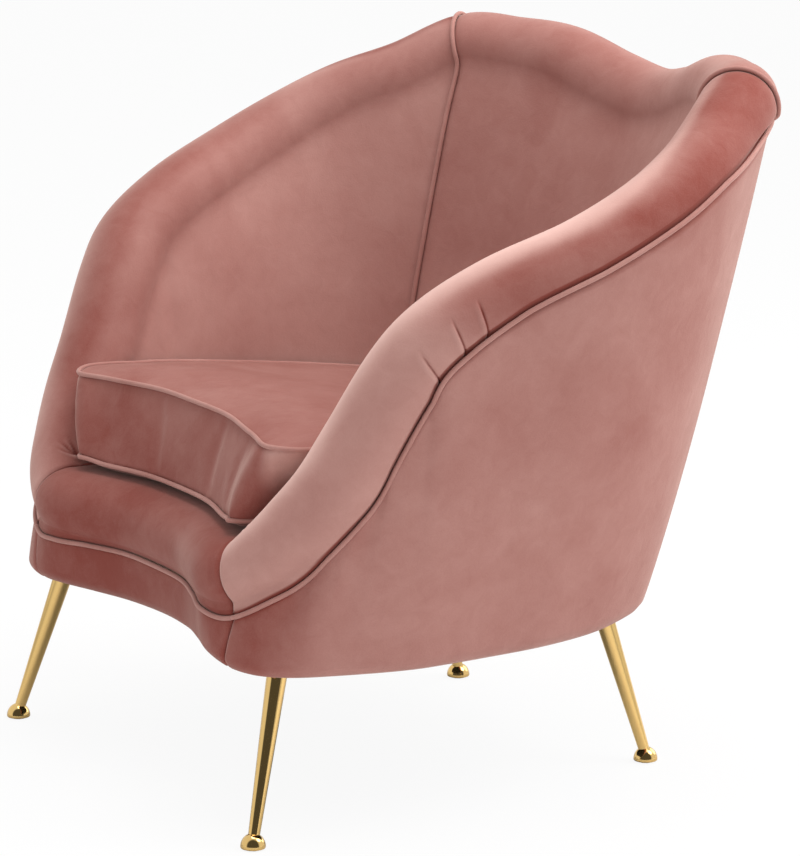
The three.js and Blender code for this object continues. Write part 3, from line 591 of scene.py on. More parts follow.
def nylon():
    """Dark moulded nylon, finely grained."""
    finish = Finish("moulded nylon")
    fine = finish.grain(0.0008, 2.0)
    colour = finish.mix(fine, (0.030, 0.030, 0.034), (0.055, 0.055, 0.060))
    finish.set(Base_Color=colour, Roughness=fine * 0.15 + 0.42, Normal=finish.bump(fine, 0.00005))
    return finish.material


# Where each finish is used, by the record's slots
FINISHES = {}


def finish_for(slot):
    makers = {
        "velvet": lambda: velvet("rose velvet"),
        "velvet_seat": lambda: velvet("rose velvet on the cushion"),
        "foam": foam,
        "timber": timber,
        "webbing": lambda: woven("jute webbing", (0.10, 0.065, 0.035), (0.28, 0.20, 0.12), 0.0016),
        "lining": lambda: woven("black lining", (0.010, 0.010, 0.010), (0.035, 0.034, 0.034), 0.0009),
        "deck_cloth": lambda: woven("rose deck cloth", (0.20, 0.085, 0.07), (0.34, 0.16, 0.135), 0.0012),
        "brass": brass,
        "steel": steel,
        "nylon": nylon,
    }
    if slot not in FINISHES:
        FINISHES[slot] = makers[slot]()
    return FINISHES[slot]


# Making pieces


# Tone of the velvet, from 0, the darkest painted shade, to 1, the palest painted light: the plain cover and
# the piping keep their own tones, and every other region carries painted light or shade
PLAIN_TONE = 0.30
CORD_TONE = 0.40
PAINTED_SHADE_NOSE = 0.04
PAINTED_SHADE_APRON = 0.02
PAINTED_SHADE_BORDER = 0.10
PAINTED_LIGHT_SIDE = 0.62
PAINTED_SHADE_SEAT = 0.12
PAINTED_LIGHT_ROLL = 0.50
PAINTED_SHADE_UNDER_ROLL = 0.32
PAINTED_LIGHT_INNER = 0.46
PAINTED_SHADE_SHOULDER = 0.15
PAINTED_SHADE_EAR = 0.02
PAINTED_SHADE_BACK_ROLL = 0.26
BACK_PAD_TONE = 0.31
PAINTED_SHADE_PANEL_FRONT = 0.12
PANEL_TONE = 0.365
# Painted light added low on the arms and the back where the seat shades them, painted shade at the panels'
# rear, and a painted shadow just under the panels' piping
PAINTED_LIGHT_LOW_ARM = 0.12
PAINTED_LIGHT_LOW_BACK = 0.36
PAINTED_SHADE_REAR = -0.15
PAINTED_SHADOW_UNDER_PIPING = -0.30
PANEL_EDGE_WIDTH = 0.007
# Painted shade in the groove beside the piping: how much darker it is, and how far that reaches
GROOVE_SHADE = 0.60
GROOVE_SHADE_REACH = 0.0055
GROOVE_SHADE_EDGE = 0.0030
# How much painted shade a fold gets, and how much painted highlight its ridge gets
FOLD_SHADE = 0.35


def piece_from(bm, name, slot, body, finish=None, lay=None):
    """Turns a finished bmesh into a piece that rides on a body."""
    for face in bm.faces:
        face.smooth = True
    if lay is not None:
        layer = bm.verts.layers.float.new("lay")
        for v in bm.verts:
            v[layer] = lay
    mesh = bpy.data.meshes.new(name)
    bm.to_mesh(mesh)
    bm.free()
    mesh.materials.append(finish_for(finish or slot))
    piece = bpy.data.objects.new(name, mesh)
    bpy.context.scene.collection.objects.link(piece)
    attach(piece, body)
    return piece


Spot = namedtuple("Spot", "t first last low high length")


def dip(distance, depth, width):
    """How far a cover dips at a distance from a seam."""
    return depth * math.exp(-((distance / width) ** 2))


def groove(spot, sizes):
    """How far a cover dips where it goes under the piping."""
    return dip(max(0, spot.low - SEAM_TUCK), sizes.groove_depth, sizes.groove_width)


def wander(point, size):
    """Gentle unevenness of hand-laid padding, from -1 to 1."""
    return noise.noise(point / size)


def roll_angle(spot):
    """The angle round the roll of a place on a cover that starts under the piping."""
    row = smooth_row(spot.t)
    return row[6] + math.degrees((spot.low - SEAM_TUCK) / (row[3] * ROLL_RADIUS))


def plain_tone(spot):
    return PLAIN_TONE


def groove_shade(spot):
    return GROOVE_SHADE * ease(1 - (spot.low - SEAM_TUCK - GROOVE_SHADE_REACH) / GROOVE_SHADE_EDGE)


PADDING = "padding"
PADDING_REACH = 0.055
PADDING_RISE = 0.030


def sewn_grid(stations, columns_of, relief, mirrored=False, tone_and_painted_light_of=plain_tone):
    """A cover laid over columns of points, then pressed in by its relief."""
    columns = [columns_of(t) for t in stations]
    wide, tall = len(columns) - 1, len(columns[0]) - 1
    bm = bmesh.new()
    nap = bm.loops.layers.uv.new("nap")
    lay = bm.verts.layers.float.new("lay")
    padding = bm.verts.layers.deform.verify()
    bmesh.ops.create_grid(bm, x_segments=wide, y_segments=tall, size=0.5)
    grid = {}
    for v in bm.verts:
        i, j = round((v.co.x + 0.5) * wide), round((v.co.y + 0.5) * tall)
        grid[i, j] = v
        v.co = columns[i][j]
    across = [[0.0] for _ in columns]
    for column, lengths in zip(columns, across):
        for a, b in zip(column, column[1:]):
            lengths.append(lengths[-1] + (b - a).length)
    along = [[0.0] * (tall + 1)]
    for left, right in zip(columns, columns[1:]):
        along.append([far + (b - a).length for far, a, b in zip(along[-1], left, right)])
    bm.normal_update()
    pressed = {}
    for (i, j), v in grid.items():
        spot = Spot(stations[i], along[i][j], along[-1][j] - along[i][j], across[i][j],
                    across[i][-1] - across[i][j], along[i][0])
        pressed[v] = v.co + v.normal * relief(spot, v.co)
        v[lay] = tone_and_painted_light_of(spot)
        v[padding][0] = ease(min(spot.first, spot.last) / PADDING_REACH) * ease(spot.low / PADDING_RISE)
    where = {v: (along[i][0], across[i][j]) for (i, j), v in grid.items()}
    for v, co in pressed.items():
        v.co = (-co.x, co.y, co.z) if mirrored else co
    for face in bm.faces:
        for loop in face.loops:
            loop[nap].uv = where[loop.vert]
    if mirrored:
        bmesh.ops.reverse_faces(bm, faces=bm.faces)
    return bm


def thicken(piece, thickness, least=1.0):
    """Gives a cover its thickness on the inner side, down to the least share of it at its seams."""
    wall = piece.modifiers.new("thickness", "SOLIDIFY")
    wall.thickness = thickness
    wall.offset = -1
    if least < 1:
        piece.vertex_groups.new(name=PADDING)
        wall.vertex_group = PADDING
        wall.thickness_vertex_group = least


def frames_along(path, facings, loop=False):
    """Two cross ways at each point of a path, the first as near as can be to the way it faces."""
    frames = []
    last = len(path) - 1
    for k, facing in enumerate(facings):
        before = path[(k - 1) % len(path)] if loop else path[max(k - 1, 0)]
        after = path[(k + 1) % len(path)] if loop else path[min(k + 1, last)]
        along = (after - before).normalized()
        first = (facing - along * facing.dot(along)).normalized()
        frames.append((first, along.cross(first)))
    return frames


CORD_SIDES = 14


def cord(path, facings, radius, loop=False):
    """A round cord along a path, closed at both ends, or round a closed loop."""
    frames = frames_along(path, facings, loop)
    count = len(path) if loop else len(path) - 1
    bm = bmesh.new()
    bmesh.ops.create_grid(bm, x_segments=CORD_SIDES, y_segments=count, size=0.5)
    for v in bm.verts:
        turn, k = (v.co.x + 0.5) * 2 * math.pi, round((v.co.y + 0.5) * count) % len(path)
        a, b = frames[k]
        v.co = path[k] + a * math.cos(turn) * radius + b * math.sin(turn) * radius
    bmesh.ops.remove_doubles(bm, verts=bm.verts, dist=radius * 0.05)
    if not loop:
        bmesh.ops.holes_fill(bm, edges=bm.edges, sides=CORD_SIDES)
    bmesh.ops.recalc_face_normals(bm, faces=bm.faces)
    return bm


# The padded shell

SEAM_PADDING = 0.12
ARM_COLUMNS = 330
BACK_COLUMNS = 130
NOSE_COLUMNS = 120
# Creases at the shoulder, by station: how high they reach, how far they lean to the front on the way
# up, and how wide they are
SHOULDER_PLEATS = (9.37, 10.02, 10.44)
PLEAT_LENGTH = 0.046
PLEAT_FADE = 0.022
PLEAT_SWAY = 0.011
PLEAT_SWAY_CURVE = 0.6
PLEAT_WIDTH = 0.0010
# The soft fold beside a crease and the pucker where it meets the piping
PLEAT_FOLD = 0.0032
FOLD_SHARE = 0.35
PUCKER_SHARE = 0.7
PUCKER_WIDTH = 0.007


def pleat(spot, lengths, sizes):
    """Narrow creases up the roll at the shoulder, each with a soft fold beside it."""
    height = max(0, spot.low - SEAM_TUCK)
    fade = ease((PLEAT_LENGTH - height) / PLEAT_FADE)
    sway = PLEAT_SWAY * clamp(height / PLEAT_LENGTH) ** PLEAT_SWAY_CURVE
    sunk = 0.0
    for start in lengths:
        away = spot.length - start - sway
        sunk += fade * dip(away, sizes.pleat_depth, PLEAT_WIDTH)
        sunk -= fade * dip(away + PLEAT_FOLD, sizes.pleat_depth * FOLD_SHARE, PLEAT_FOLD)
        sunk += dip(away, sizes.pleat_depth * PUCKER_SHARE, PUCKER_WIDTH) * dip(height, 1, PUCKER_WIDTH)
    return sunk


# Folds where the arm's cover is drawn down to the cushion's corner: the corner they meet at and the
# far end of each, as the length along the piping and the height from the cover's edge
GATHER_CORNER = Vector((0.038, 0.130))
GATHER_ENDS = (Vector((0.066, 0.106)), Vector((0.084, 0.111)), Vector((0.094, 0.126)))
GATHER_REACH = 0.12
GATHER_DEPTH = 0.0040
GATHER_WIDTH = 0.0024
# How far each fold starts before the corner, as a share of its length
GATHER_START = 0.1
# The ridge beside each fold: its height as a share of the depth, its place in widths
RIDGE_SHARE = 0.6
RIDGE_PLACE = 1.8
GATHER_STATIONS = (4.55, 4.85)


def gathers(spot):
    """Three folds that fan out from the cushion's lower corner."""
    if spot.length > GATHER_REACH:
        return 0.0
    here = Vector((spot.length, spot.low))
    sunk = 0.0
    for end in GATHER_ENDS:
        way = end - GATHER_CORNER
        share = clamp((here - GATHER_CORNER).dot(way) / way.length_squared, -GATHER_START, 1)
        apart = (here - GATHER_CORNER - way * share).length
        below = -1 if (here - GATHER_CORNER).cross(way) < 0 else 1
        fade = (1 - ease(share)) * rising(share, -GATHER_START, GATHER_START)
        sunk += fade * dip(apart, GATHER_DEPTH, GATHER_WIDTH)
        ridge = apart * below - RIDGE_PLACE * GATHER_WIDTH
        sunk -= fade * dip(ridge, GATHER_DEPTH * RIDGE_SHARE, GATHER_WIDTH)
    return sunk


def hump(value, low, high, soft):
    """1 between two values, falling to 0 over a soft edge outside them."""
    return ease((value - low + soft) / soft) * ease((high + soft - value) / soft)


# Painted light along each arm's crest: a pale painted sheen on the left arm's crest, and painted shade on the
# right arm's
CREST_PAINTED_LIGHT = {"left": 1.10, "right": 0.14}


def lowness(spot):
    """How far down its cover a place is, from 0 at the piping to 1 at the lower edge."""
    return spot.low / (spot.low + spot.high)


def arm_painted_light(spot, crest, lengths, sizes):
    """Painted sheen along the crest, painted shade on the shoulder's face and inside the crest, by angle and
    station, with painted light low down and painted shade in the groove and the folds.
    """
    angle = roll_angle(spot)
    lay = blend(PAINTED_LIGHT_ROLL, PAINTED_SHADE_UNDER_ROLL, rising(angle, 100, 128))
    lay = blend(lay, PAINTED_LIGHT_INNER, rising(angle, 165, 220))
    ear = rising(spot.t, 12, 15)
    face = hump(angle, -5, 45 + 55 * ear, 25) * rising(spot.t, 9.6, 11.2)
    lay = blend(lay, blend(PAINTED_SHADE_SHOULDER, PAINTED_SHADE_EAR, ear), face)
    # The band along the crest that takes the crest's painted sheen or painted shade
    brushed = rising(angle, 35, 97) * (1 - rising(angle, 108, 138)) * (1 - rising(spot.t, 11, 15))
    lay = blend(lay, crest, brushed) + PAINTED_LIGHT_LOW_ARM * rising(lowness(spot), 0.75, 0.95)
    # Painted shade in the groove and in the folds, and painted highlight on the folds' ridges
    folds = gathers(spot) / GATHER_DEPTH + pleat(spot, lengths, sizes) / sizes.pleat_depth
    return lay - groove_shade(spot) - FOLD_SHADE * folds


def arm_relief(lengths):
    sizes = bpy.context.scene.tub_shell

    def relief(spot, point):
        pressed = groove(spot, sizes)
        pressed += dip(spot.first, sizes.seam_depth, sizes.seam_width)
        pressed += dip(spot.last, sizes.groove_depth * 0.7, sizes.groove_width)
        return 0.0007 * wander(point, 0.11) - pressed - pleat(spot, lengths, sizes) - gathers(spot)

    return relief


def piping_length(start, end):
    """Length along the piping between two stations."""
    points = [piping_centre(section(blend(start, end, k / 200))) for k in range(201)]
    return sum((b - a).length for a, b in zip(points, points[1:]))


class TUB_OT_arms(Operator):
    """Pads both arms over their rolled edge, from the front seams to the collars"""

    bl_idname = "tub.arms"
    bl_label = "Pad arms"

    def execute(self, context):
        sizes = context.scene.tub_shell
        stations = even_stations(JUNCTION, COLLAR, ARM_COLUMNS, GATHER_STATIONS + SHOULDER_PLEATS)
        lengths = [piping_length(JUNCTION, t) for t in SHOULDER_PLEATS]
        # Each arm gets its own painted light along its crest
        for side, crest in CREST_PAINTED_LIGHT.items():
            bm = sewn_grid(
                stations, lambda t: inner_rows(section(t)), arm_relief(lengths), side == "right",
                lambda spot: arm_painted_light(spot, crest, lengths, sizes))
            arm = piece_from(bm, f"arm_pad_{side}", "velvet", "chair")
            thicken(arm, sizes.pad_thickness, SEAM_PADDING)
            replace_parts(arm, f"arm_cover_{side}", f"arm_foam_{side}")
        return {"FINISHED"}


def back_painted_light(spot):
    """Even on the back, with painted shade on its roll, painted light down at the seat, and painted shade in
    the groove by the piping.
    """
    angle = roll_angle(spot)
    lay = blend(PLAIN_TONE, PAINTED_SHADE_BACK_ROLL, rising(angle, 0, 60))
    lay = blend(lay, BACK_PAD_TONE, rising(angle, 150, 210))
    return lay + PAINTED_LIGHT_LOW_BACK * rising(lowness(spot), 0.6, 0.95) - groove_shade(spot)


class TUB_OT_back(Operator):
    """Pads the inner back between the two collars"""

    bl_idname = "tub.back"
    bl_label = "Pad back"

    def execute(self, context):
        sizes = context.scene.tub_shell

        def relief(spot, point):
            pressed = groove(spot, sizes)
            for edge in (spot.first, spot.last):
                pressed += dip(edge, sizes.groove_depth * 0.7, sizes.groove_width)
            return 0.0008 * wander(point, 0.12) - pressed

        stations = even_stations(COLLAR, FAR_COLLAR, BACK_COLUMNS)
        bm = sewn_grid(stations, lambda t: inner_rows(section(t)), relief, tone_and_painted_light_of=back_painted_light)
        back = piece_from(bm, "back_pad", "velvet", "chair")
        thicken(back, sizes.pad_thickness, SEAM_PADDING)
        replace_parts(back, "back_cover", "back_foam")
        return {"FINISHED"}


class TUB_OT_nose(Operator):
    """Pads the nose across the front, between the apron and the cushion"""

    bl_idname = "tub.nose"
    bl_label = "Pad nose"

    def execute(self, context):
        sizes = context.scene.tub_shell

        def relief(spot, point):
            pressed = 0.8 * groove(spot, sizes)
            for edge in (spot.first, spot.last):
                pressed += dip(edge, sizes.seam_depth, sizes.seam_width)
            return 0.0006 * wander(point, 0.10) - pressed

        stations = even_stations(-JUNCTION, JUNCTION, NOSE_COLUMNS)
        # The nose carries painted shade, with more of it in the groove under its piping
        bm = sewn_grid(stations, lambda t: nose_rows(section(t), t), relief,
                       tone_and_painted_light_of=lambda spot: PAINTED_SHADE_NOSE - groove_shade(spot))
        nose = piece_from(bm, "nose_pad", "velvet", "chair")
        thicken(nose, sizes.pad_thickness, SEAM_PADDING)
        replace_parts(nose, "nose_cover", "nose_foam")
        return {"FINISHED"}


def panel_painted_light(spot):
    """Painted shade round the front corner, paler towards the rear, painted shade at the very rear, and a
    painted shadow just under the piping.
    """
    lay = blend(PAINTED_SHADE_PANEL_FRONT, PANEL_TONE, rising(spot.t, 4.5, 8.5)) + PAINTED_SHADE_REAR * rising(spot.t, 11, 15)
    return lay + dip(spot.high, PAINTED_SHADOW_UNDER_PIPING, PANEL_EDGE_WIDTH)


class TUB_OT_outside(Operator):
    """Stretches the outside panels and the apron from the hem to the piping"""

    bl_idname = "tub.outside"
    bl_label = "Cover outside"

    def execute(self, context):
        sizes = context.scene.tub_shell

        def relief(spot, point):
            pressed = dip(spot.high, sizes.groove_depth * 0.55, sizes.groove_width * 0.5)
            for edge in (spot.first, spot.last):
                pressed += dip(edge, sizes.seam_depth, sizes.seam_width)
            return 0.0006 * wander(point, 0.16) - pressed

        around = even_stations(JUNCTION, COLLAR, 190)[:-1] + even_stations(COLLAR, BACK_CENTRE, 60)
        for side in ("left", "right"):
            bm = sewn_grid(around, lambda t: panel_rows(section(t)), relief, side == "right", panel_painted_light)
            self.stretch(bm, f"outside_panel_{side}", f"outside_cover_{side}", sizes)
        # The apron carries painted shade all over
        bm = sewn_grid(
            even_stations(-JUNCTION, JUNCTION, NOSE_COLUMNS), lambda t: panel_rows(section(t)), relief,
            tone_and_painted_light_of=lambda spot: PAINTED_SHADE_APRON)
        self.stretch(bm, "apron_panel", "apron_cover", sizes)
        return {"FINISHED"}

    def stretch(self, bm, name, node, sizes):
        area = sum(face.calc_area() for face in bm.faces)
        panel = piece_from(bm, name, "velvet", "chair")
        thicken(panel, sizes.cover_thickness)
        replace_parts(panel, node)


def roll_facing(s):
    return (piping_point(s) - s.centre).normalized()


def collar_path():
    """The left collar's line over the ear and down the inner seam, and the ways that it faces."""
    rows = inner_rows(section(COLLAR))
    along = (roll_centre(COLLAR + 0.01) - roll_centre(COLLAR - 0.01)).normalized()
    path, facings = [], []
    for k, point in enumerate(rows):
        rise = rows[min(k + 1, len(rows) - 1)] - rows[max(k - 1, 0)]
        facing = along.cross(rise).normalized()
        path.append(point + facing * PIPING_LIFT)
        facings.append(facing)
    return path, facings


class TUB_OT_piping(Operator):
    """Sews the piping round the outside, over the collars and down the inner seams"""

    bl_idname = "tub.piping"
    bl_label = "Sew piping"

    def execute(self, context):
        sizes = context.scene.tub_shell
        radius = sizes.piping_radius
        seam = even_stations(JUNCTION, COLLAR, 420)
        runs = {
            "back_piping": even_stations(COLLAR, FAR_COLLAR, 220),
            "apron_piping": even_stations(-JUNCTION, JUNCTION, 220),
            "arm_piping_left": seam,
            "arm_piping_right": [-t for t in seam],
        }
        for name, stations in runs.items():
            places = [section(t) for t in stations]
            path = [piping_centre(s) for s in places]
            bm = cord(path, [roll_facing(s) for s in places], radius)
            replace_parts(piece_from(bm, name + "_cord", "velvet", "chair", lay=CORD_TONE), name)
        path, facings = collar_path()
        for side, sign in (("left", 1), ("right", -1)):
            turned, faced = ([Vector((sign * p.x, p.y, p.z)) for p in line] for line in (path, facings))
            collar = piece_from(
                cord(turned, faced, radius), f"collar_piping_{side}_cord", "velvet", "chair", lay=CORD_TONE)
            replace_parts(collar, f"collar_piping_{side}")
        return {"FINISHED"}


# Seat deck and dust cover


def level_point(p):
    return Vector((p.x, p.y, 0))


# Steps of a closed line between two of its corners, and how often each point is drawn towards its
# neighbours
LOOP_STEPS = 30
LOOP_EASING = 4


def rounded_loop(corners, count):
    """Evenly spaced points on a smooth closed line through the corners."""
    total = len(corners)
    fine = []
    for k in range(total):
        p0, p1, p2, p3 = (corners[(k + step) % total] for step in (-1, 0, 1, 2))
        d0, d1, d2 = ((b - a).length ** 0.5 for a, b in ((p0, p1), (p1, p2), (p2, p3)))
        leaving = ((p1 - p0) / d0 - (p2 - p0) / (d0 + d1) + (p2 - p1) / d1) * d1
        arriving = ((p2 - p1) / d1 - (p3 - p1) / (d1 + d2) + (p3 - p2) / d2) * d1
        fine += [p1] + curve_between(p1, leaving, p2, arriving, LOOP_STEPS)[:-1]
    lengths = [0.0]
    for k in range(len(fine)):
        lengths.append(lengths[-1] + (fine[(k + 1) % len(fine)] - fine[k]).length)
    points, k = [], 0
    for n in range(count):
        goal = lengths[-1] * n / count
        while lengths[k + 1] < goal:
            k += 1
        part = (goal - lengths[k]) / (lengths[k + 1] - lengths[k])
        points.append(fine[k].lerp(fine[(k + 1) % len(fine)], part))
    for _ in range(LOOP_EASING):
        points = [(points[k - 1] + p * 2 + points[(k + 1) % count]) / 4 for k, p in enumerate(points)]
    return points


def inward_at(loop, middle):
    """The level way in from each point of a closed line."""
    ways = []
    for k, p in enumerate(loop):
        along = loop[(k + 1) % len(loop)] - loop[k - 1]
        way = Vector((-along.y, along.x, 0)).normalized()
        ways.append(way if way.dot(middle - p) > 0 else -way)
    return ways


def ring_pad(rings):
    """A closed pad through rings of points, from the bottom's middle to the top's."""
    around, tall = len(rings[0]), len(rings) - 1
    bm = bmesh.new()
    bmesh.ops.create_grid(bm, x_segments=around, y_segments=tall, size=0.5)
    for v in bm.verts:
        i, j = round((v.co.x + 0.5) * around) % around, round((v.co.y + 0.5) * tall)
        v.co = rings[j][i]
    bmesh.ops.remove_doubles(bm, verts=bm.verts, dist=0.00005)
    bmesh.ops.recalc_face_normals(bm, faces=bm.faces)
    return bm


DECK_START = 5.6
DECK_ROOM = 0.003
NOSE_ROOM = 0.001
DECK_SIDES = 240
DECK_FRONT_STEPS = 6
DECK_REAR_STEPS = 24
DECK_MIDDLE = Vector((0, -0.08, 0))
# The rounding of the deck's lower and upper edges, and the steps from its side to its top
DECK_EDGE = 0.004
DECK_SHOULDER = 0.006
DECK_BEVEL_IN = 0.0012
DECK_BEVEL_DOWN = 0.0016
DECK_DIP = 0.001
CLOTH_LIFT = 0.0002


def deck_outline():
    """The deck's plan, behind the nose and inside the arms and the back."""
    corners = []
    for k in range(-DECK_FRONT_STEPS, DECK_FRONT_STEPS + 1):
        t = k / 2
        s = section(t)
        flat = blend(*NOSE_FLAT, (t / JUNCTION) ** 2)
        corners.append(level_point(s.centre - s.out * (flat + NOSE_ROOM)))
    for k in range(DECK_REAR_STEPS + 1):
        s = section(blend(DECK_START, 2 * BACK_CENTRE - DECK_START, k / DECK_REAR_STEPS))
        corners.append(level_point(s.deck - s.out * DECK_ROOM))
    return rounded_loop(corners, DECK_SIDES)


class TUB_OT_deck(Operator):
    """Covers the sprung deck that the loose cushion lies on"""

    bl_idname = "tub.deck"
    bl_label = "Cover deck"

    def execute(self, context):
        loop = deck_outline()
        inward = inward_at(loop, DECK_MIDDLE)
        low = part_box("seat_deck")[0].z
        top = DECK_TOP + CLOTH_LIFT

        def ring(z, inset=0.0, share=1.0):
            height = Vector((0, 0, z))
            return [DECK_MIDDLE.lerp(p, share) + way * inset + height for p, way in zip(loop, inward)]

        rings = [
            ring(low, share=0.0), ring(low, DECK_EDGE), ring(low + DECK_EDGE), ring(top - DECK_SHOULDER),
            ring(top - DECK_BEVEL_DOWN, DECK_BEVEL_IN), ring(top, DECK_EDGE)]
        for share in (0.9, 0.6, 0.3, 0.0):
            rings.append(ring(top - DECK_DIP * ease(1 - share), DECK_EDGE * share, share))
        deck = piece_from(ring_pad(rings), "covered_deck", "foam", "chair", "deck_cloth")
        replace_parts(deck, "seat_deck")
        return {"FINISHED"}


DUST_CELL = 0.014
DUST_SAG = 0.004
DUST_SAG_REACH = 0.16
DUST_REACH = 0.40
DUST_INSET = 0.005
DUST_DROP = 0.0006
DUST_RIPPLE = 0.0003
DUST_RIPPLE_SIZE = 0.03
DUST_THICKNESS = 0.0005
# The holes for the legs: the cloth near each leg that is cut and the hem drawn round it
HOLE_CUT = 0.004
HOLE_HEM_REACH = 0.02
HOLE_HEM = 0.0015


def dust_outline():
    """The lining's edge, just inside the covers' turned hems."""
    stations = [-JUNCTION + k / 4 for k in range(8 * JUNCTION)]
    stations += even_stations(JUNCTION, 2 * BACK_CENTRE - JUNCTION, 200)[:-1]
    outline = []
    for s in map(section, stations):
        p = panel_point(s, 0) - s.out * DUST_INSET
        outline.append(Vector((p.x, p.y, UNDERSIDE - DUST_DROP)))
    return outline


def cut_leg_holes(bm):
    for leg in LEGS:
        top = leg_line(leg)[1]
        hole = [f for f in bm.faces if (f.calc_center_median().xy - top.xy).length < LEG_TOP + HOLE_CUT]
        bmesh.ops.delete(bm, geom=hole, context="FACES")
        for v in bm.verts:
            out = v.co.xy - top.xy
            if v.is_boundary and out.length < LEG_TOP + HOLE_HEM_REACH:
                v.co.xy = top.xy + out.normalized() * (LEG_TOP + HOLE_HEM)


class TUB_OT_dust_cover(Operator):
    """Stretches the black lining under the frame, with holes for the legs"""

    bl_idname = "tub.dust_cover"
    bl_label = "Stretch dust cover"

    def execute(self, context):
        outline = dust_outline()
        bm = bmesh.new()
        made = bmesh.ops.create_circle(bm, cap_ends=True, segments=len(outline), radius=1)
        for v, p in zip(made["verts"], outline):
            v.co = p
        cuts = int(DUST_REACH / DUST_CELL)
        for axis in (Vector((1, 0, 0)), Vector((0, 1, 0))):
            for k in range(-cuts, cuts + 1):
                bmesh.ops.bisect_plane(
                    bm, geom=bm.verts[:] + bm.edges[:] + bm.faces[:], dist=0.00001,
                    plane_co=axis * (k * DUST_CELL), plane_no=axis)
        cut_leg_holes(bm)
        count = len(outline)
        wall = [(k, (k + 1) % count, (k + 1) % count + count, k + count) for k in range(count)]
        edge = BVHTree.FromPolygons(outline + [p + Vector((0, 0, 0.001)) for p in outline], wall)
        for v in bm.verts:
            near = edge.find_nearest(v.co)[3]
            ripple = DUST_RIPPLE * (1 + wander(v.co, DUST_RIPPLE_SIZE))
            v.co.z -= DUST_SAG * ease(near / DUST_SAG_REACH) + ripple
        bmesh.ops.recalc_face_normals(bm, faces=bm.faces)
        if sum(f.normal.z for f in bm.faces) > 0:
            bmesh.ops.reverse_faces(bm, faces=bm.faces)
        area = sum(face.calc_area() for face in bm.faces)
        lining = piece_from(bm, "dust_lining", "lining", "chair")
        thicken(lining, DUST_THICKNESS)
        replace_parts(lining, "dust_cover")
        return {"FINISHED"}


# The loose cushion

CUSHION_SIDES = 200
CUSHION_GAP = 0.0004
CUSHION_SKIRT = 0.011
CUSHION_OVERHANG = -0.001
CUSHION_LEAN = 0.019
# How much further back each station's part of the upper piping lies
CUSHION_CURL = 0.0035
SIDE_GAP = 0.007
SIDE_FLARE = 0.006
CORNER_LOW = Vector((0.4356, -0.4413))
CORNER_HIGH = Vector((0.511, -0.4194))
CORNER_REACH = 0.020
# Where the upper piping bulges out over the low front of the arms, by station
LOBES = {5: Vector((0.560, -0.4003)), 6: Vector((0.5955, -0.3784))}
# How much the front of the upper piping arches up, and the lower piping's corners lift
FRONT_RISE = 0.005
CORNER_RISE = 0.004
FRONT_REACH = (-0.26, -0.14)
CORNER_SHARES = (0.62, 0.87)
# How much lower the top lies at the rear, and from where to where it falls
REAR_FALL = 0.036
FALL_START = -0.235
FALL_LENGTH = 0.32
CUSHION_MIDDLE = Vector((0, -0.111 * CHAIR_DEPTH, 0)) + CENTRING
CUSHION_BOTTOM = DECK_TOP + CUSHION_GAP
LOW_PIPING = CUSHION_BOTTOM + CUSHION_SKIRT
DRAW_IN = 0.001
# How far the stuffing pushes the border out beside its front corners
CORNER_FULLNESS = 0.012
CORNER_FULL_WIDTH = 0.040


def towards(p, other, distance):
    return p + (other - p).normalized() * distance


def plan_point(share):
    return Vector((share.x * CHAIR_WIDTH / 2, share.y * CHAIR_DEPTH, 0)) + CENTRING


def cushion_rise(p, level):
    """How much a point of the cushion lies above its level."""
    across = abs(p.x) / (CORNER_HIGH.x * CHAIR_WIDTH / 2)
    near_front = 1 - rising(p.y, *FRONT_REACH)
    arch = FRONT_RISE * level * max(0, 1 - across**2)
    lift = CORNER_RISE * (1 - level) * rising(across, *CORNER_SHARES)
    return (arch + lift) * near_front - REAR_FALL * level * clamp((p.y - FALL_START) / FALL_LENGTH)


def back_flat():
    """Where the cushion's rear border stands."""
    return section(BACK_CENTRE - 2).deck.y - SIDE_GAP


def cushion_outline(level):
    """The cushion's plan at a level between its lower piping at 0 and its upper piping at 1."""
    front = []
    for t in range(JUNCTION):
        s = section(t)
        lean = CUSHION_OVERHANG - level * (CUSHION_LEAN + CUSHION_CURL * t)
        front.append(level_point(s.centre + s.out * lean))
    corner = plan_point(CORNER_LOW.lerp(CORNER_HIGH, level))
    side = []
    for t in range(JUNCTION + 1, BACK_CENTRE + 1):
        s = section(t)
        p = level_point(s.deck - s.out * (SIDE_GAP - level * SIDE_FLARE))
        p.y = min(p.y, back_flat())
        side.append(p.lerp(plan_point(LOBES[t]), level**2) if t in LOBES else p)
    left = front + [towards(corner, front[-1], CORNER_REACH), corner, towards(corner, side[0], CORNER_REACH)]
    left += side
    right = [Vector((-p.x, p.y, 0)) for p in left[1:-1]]
    return rounded_loop(left[::-1] + right, CUSHION_SIDES)


def cushion_ring(level, z, share=1.0, inset=0.0):
    """The cushion's outline at a level, set in and raised, with its front corners stuffed out."""
    outline = cushion_outline(level)
    corner = plan_point(CORNER_LOW.lerp(CORNER_HIGH, level))
    stuffed = CORNER_FULLNESS * math.sin(math.pi * level) ** 0.5 if 0 < level < 1 else 0.0
    points = []
    for p, way in zip(outline, inward_at(outline, CUSHION_MIDDLE)):
        away = (Vector((abs(p.x), p.y, 0)) - corner).length
        p = CUSHION_MIDDLE.lerp(p, share) + way * (inset - dip(away, stuffed, CORNER_FULL_WIDTH))
        points.append(p + Vector((0, 0, z + cushion_rise(p, level))))
    return points


CLOTH_FRAMES = 20
CLOTH_MASS = 0.35
CLOTH_STRETCH = 18
CLOTH_BEND = 8


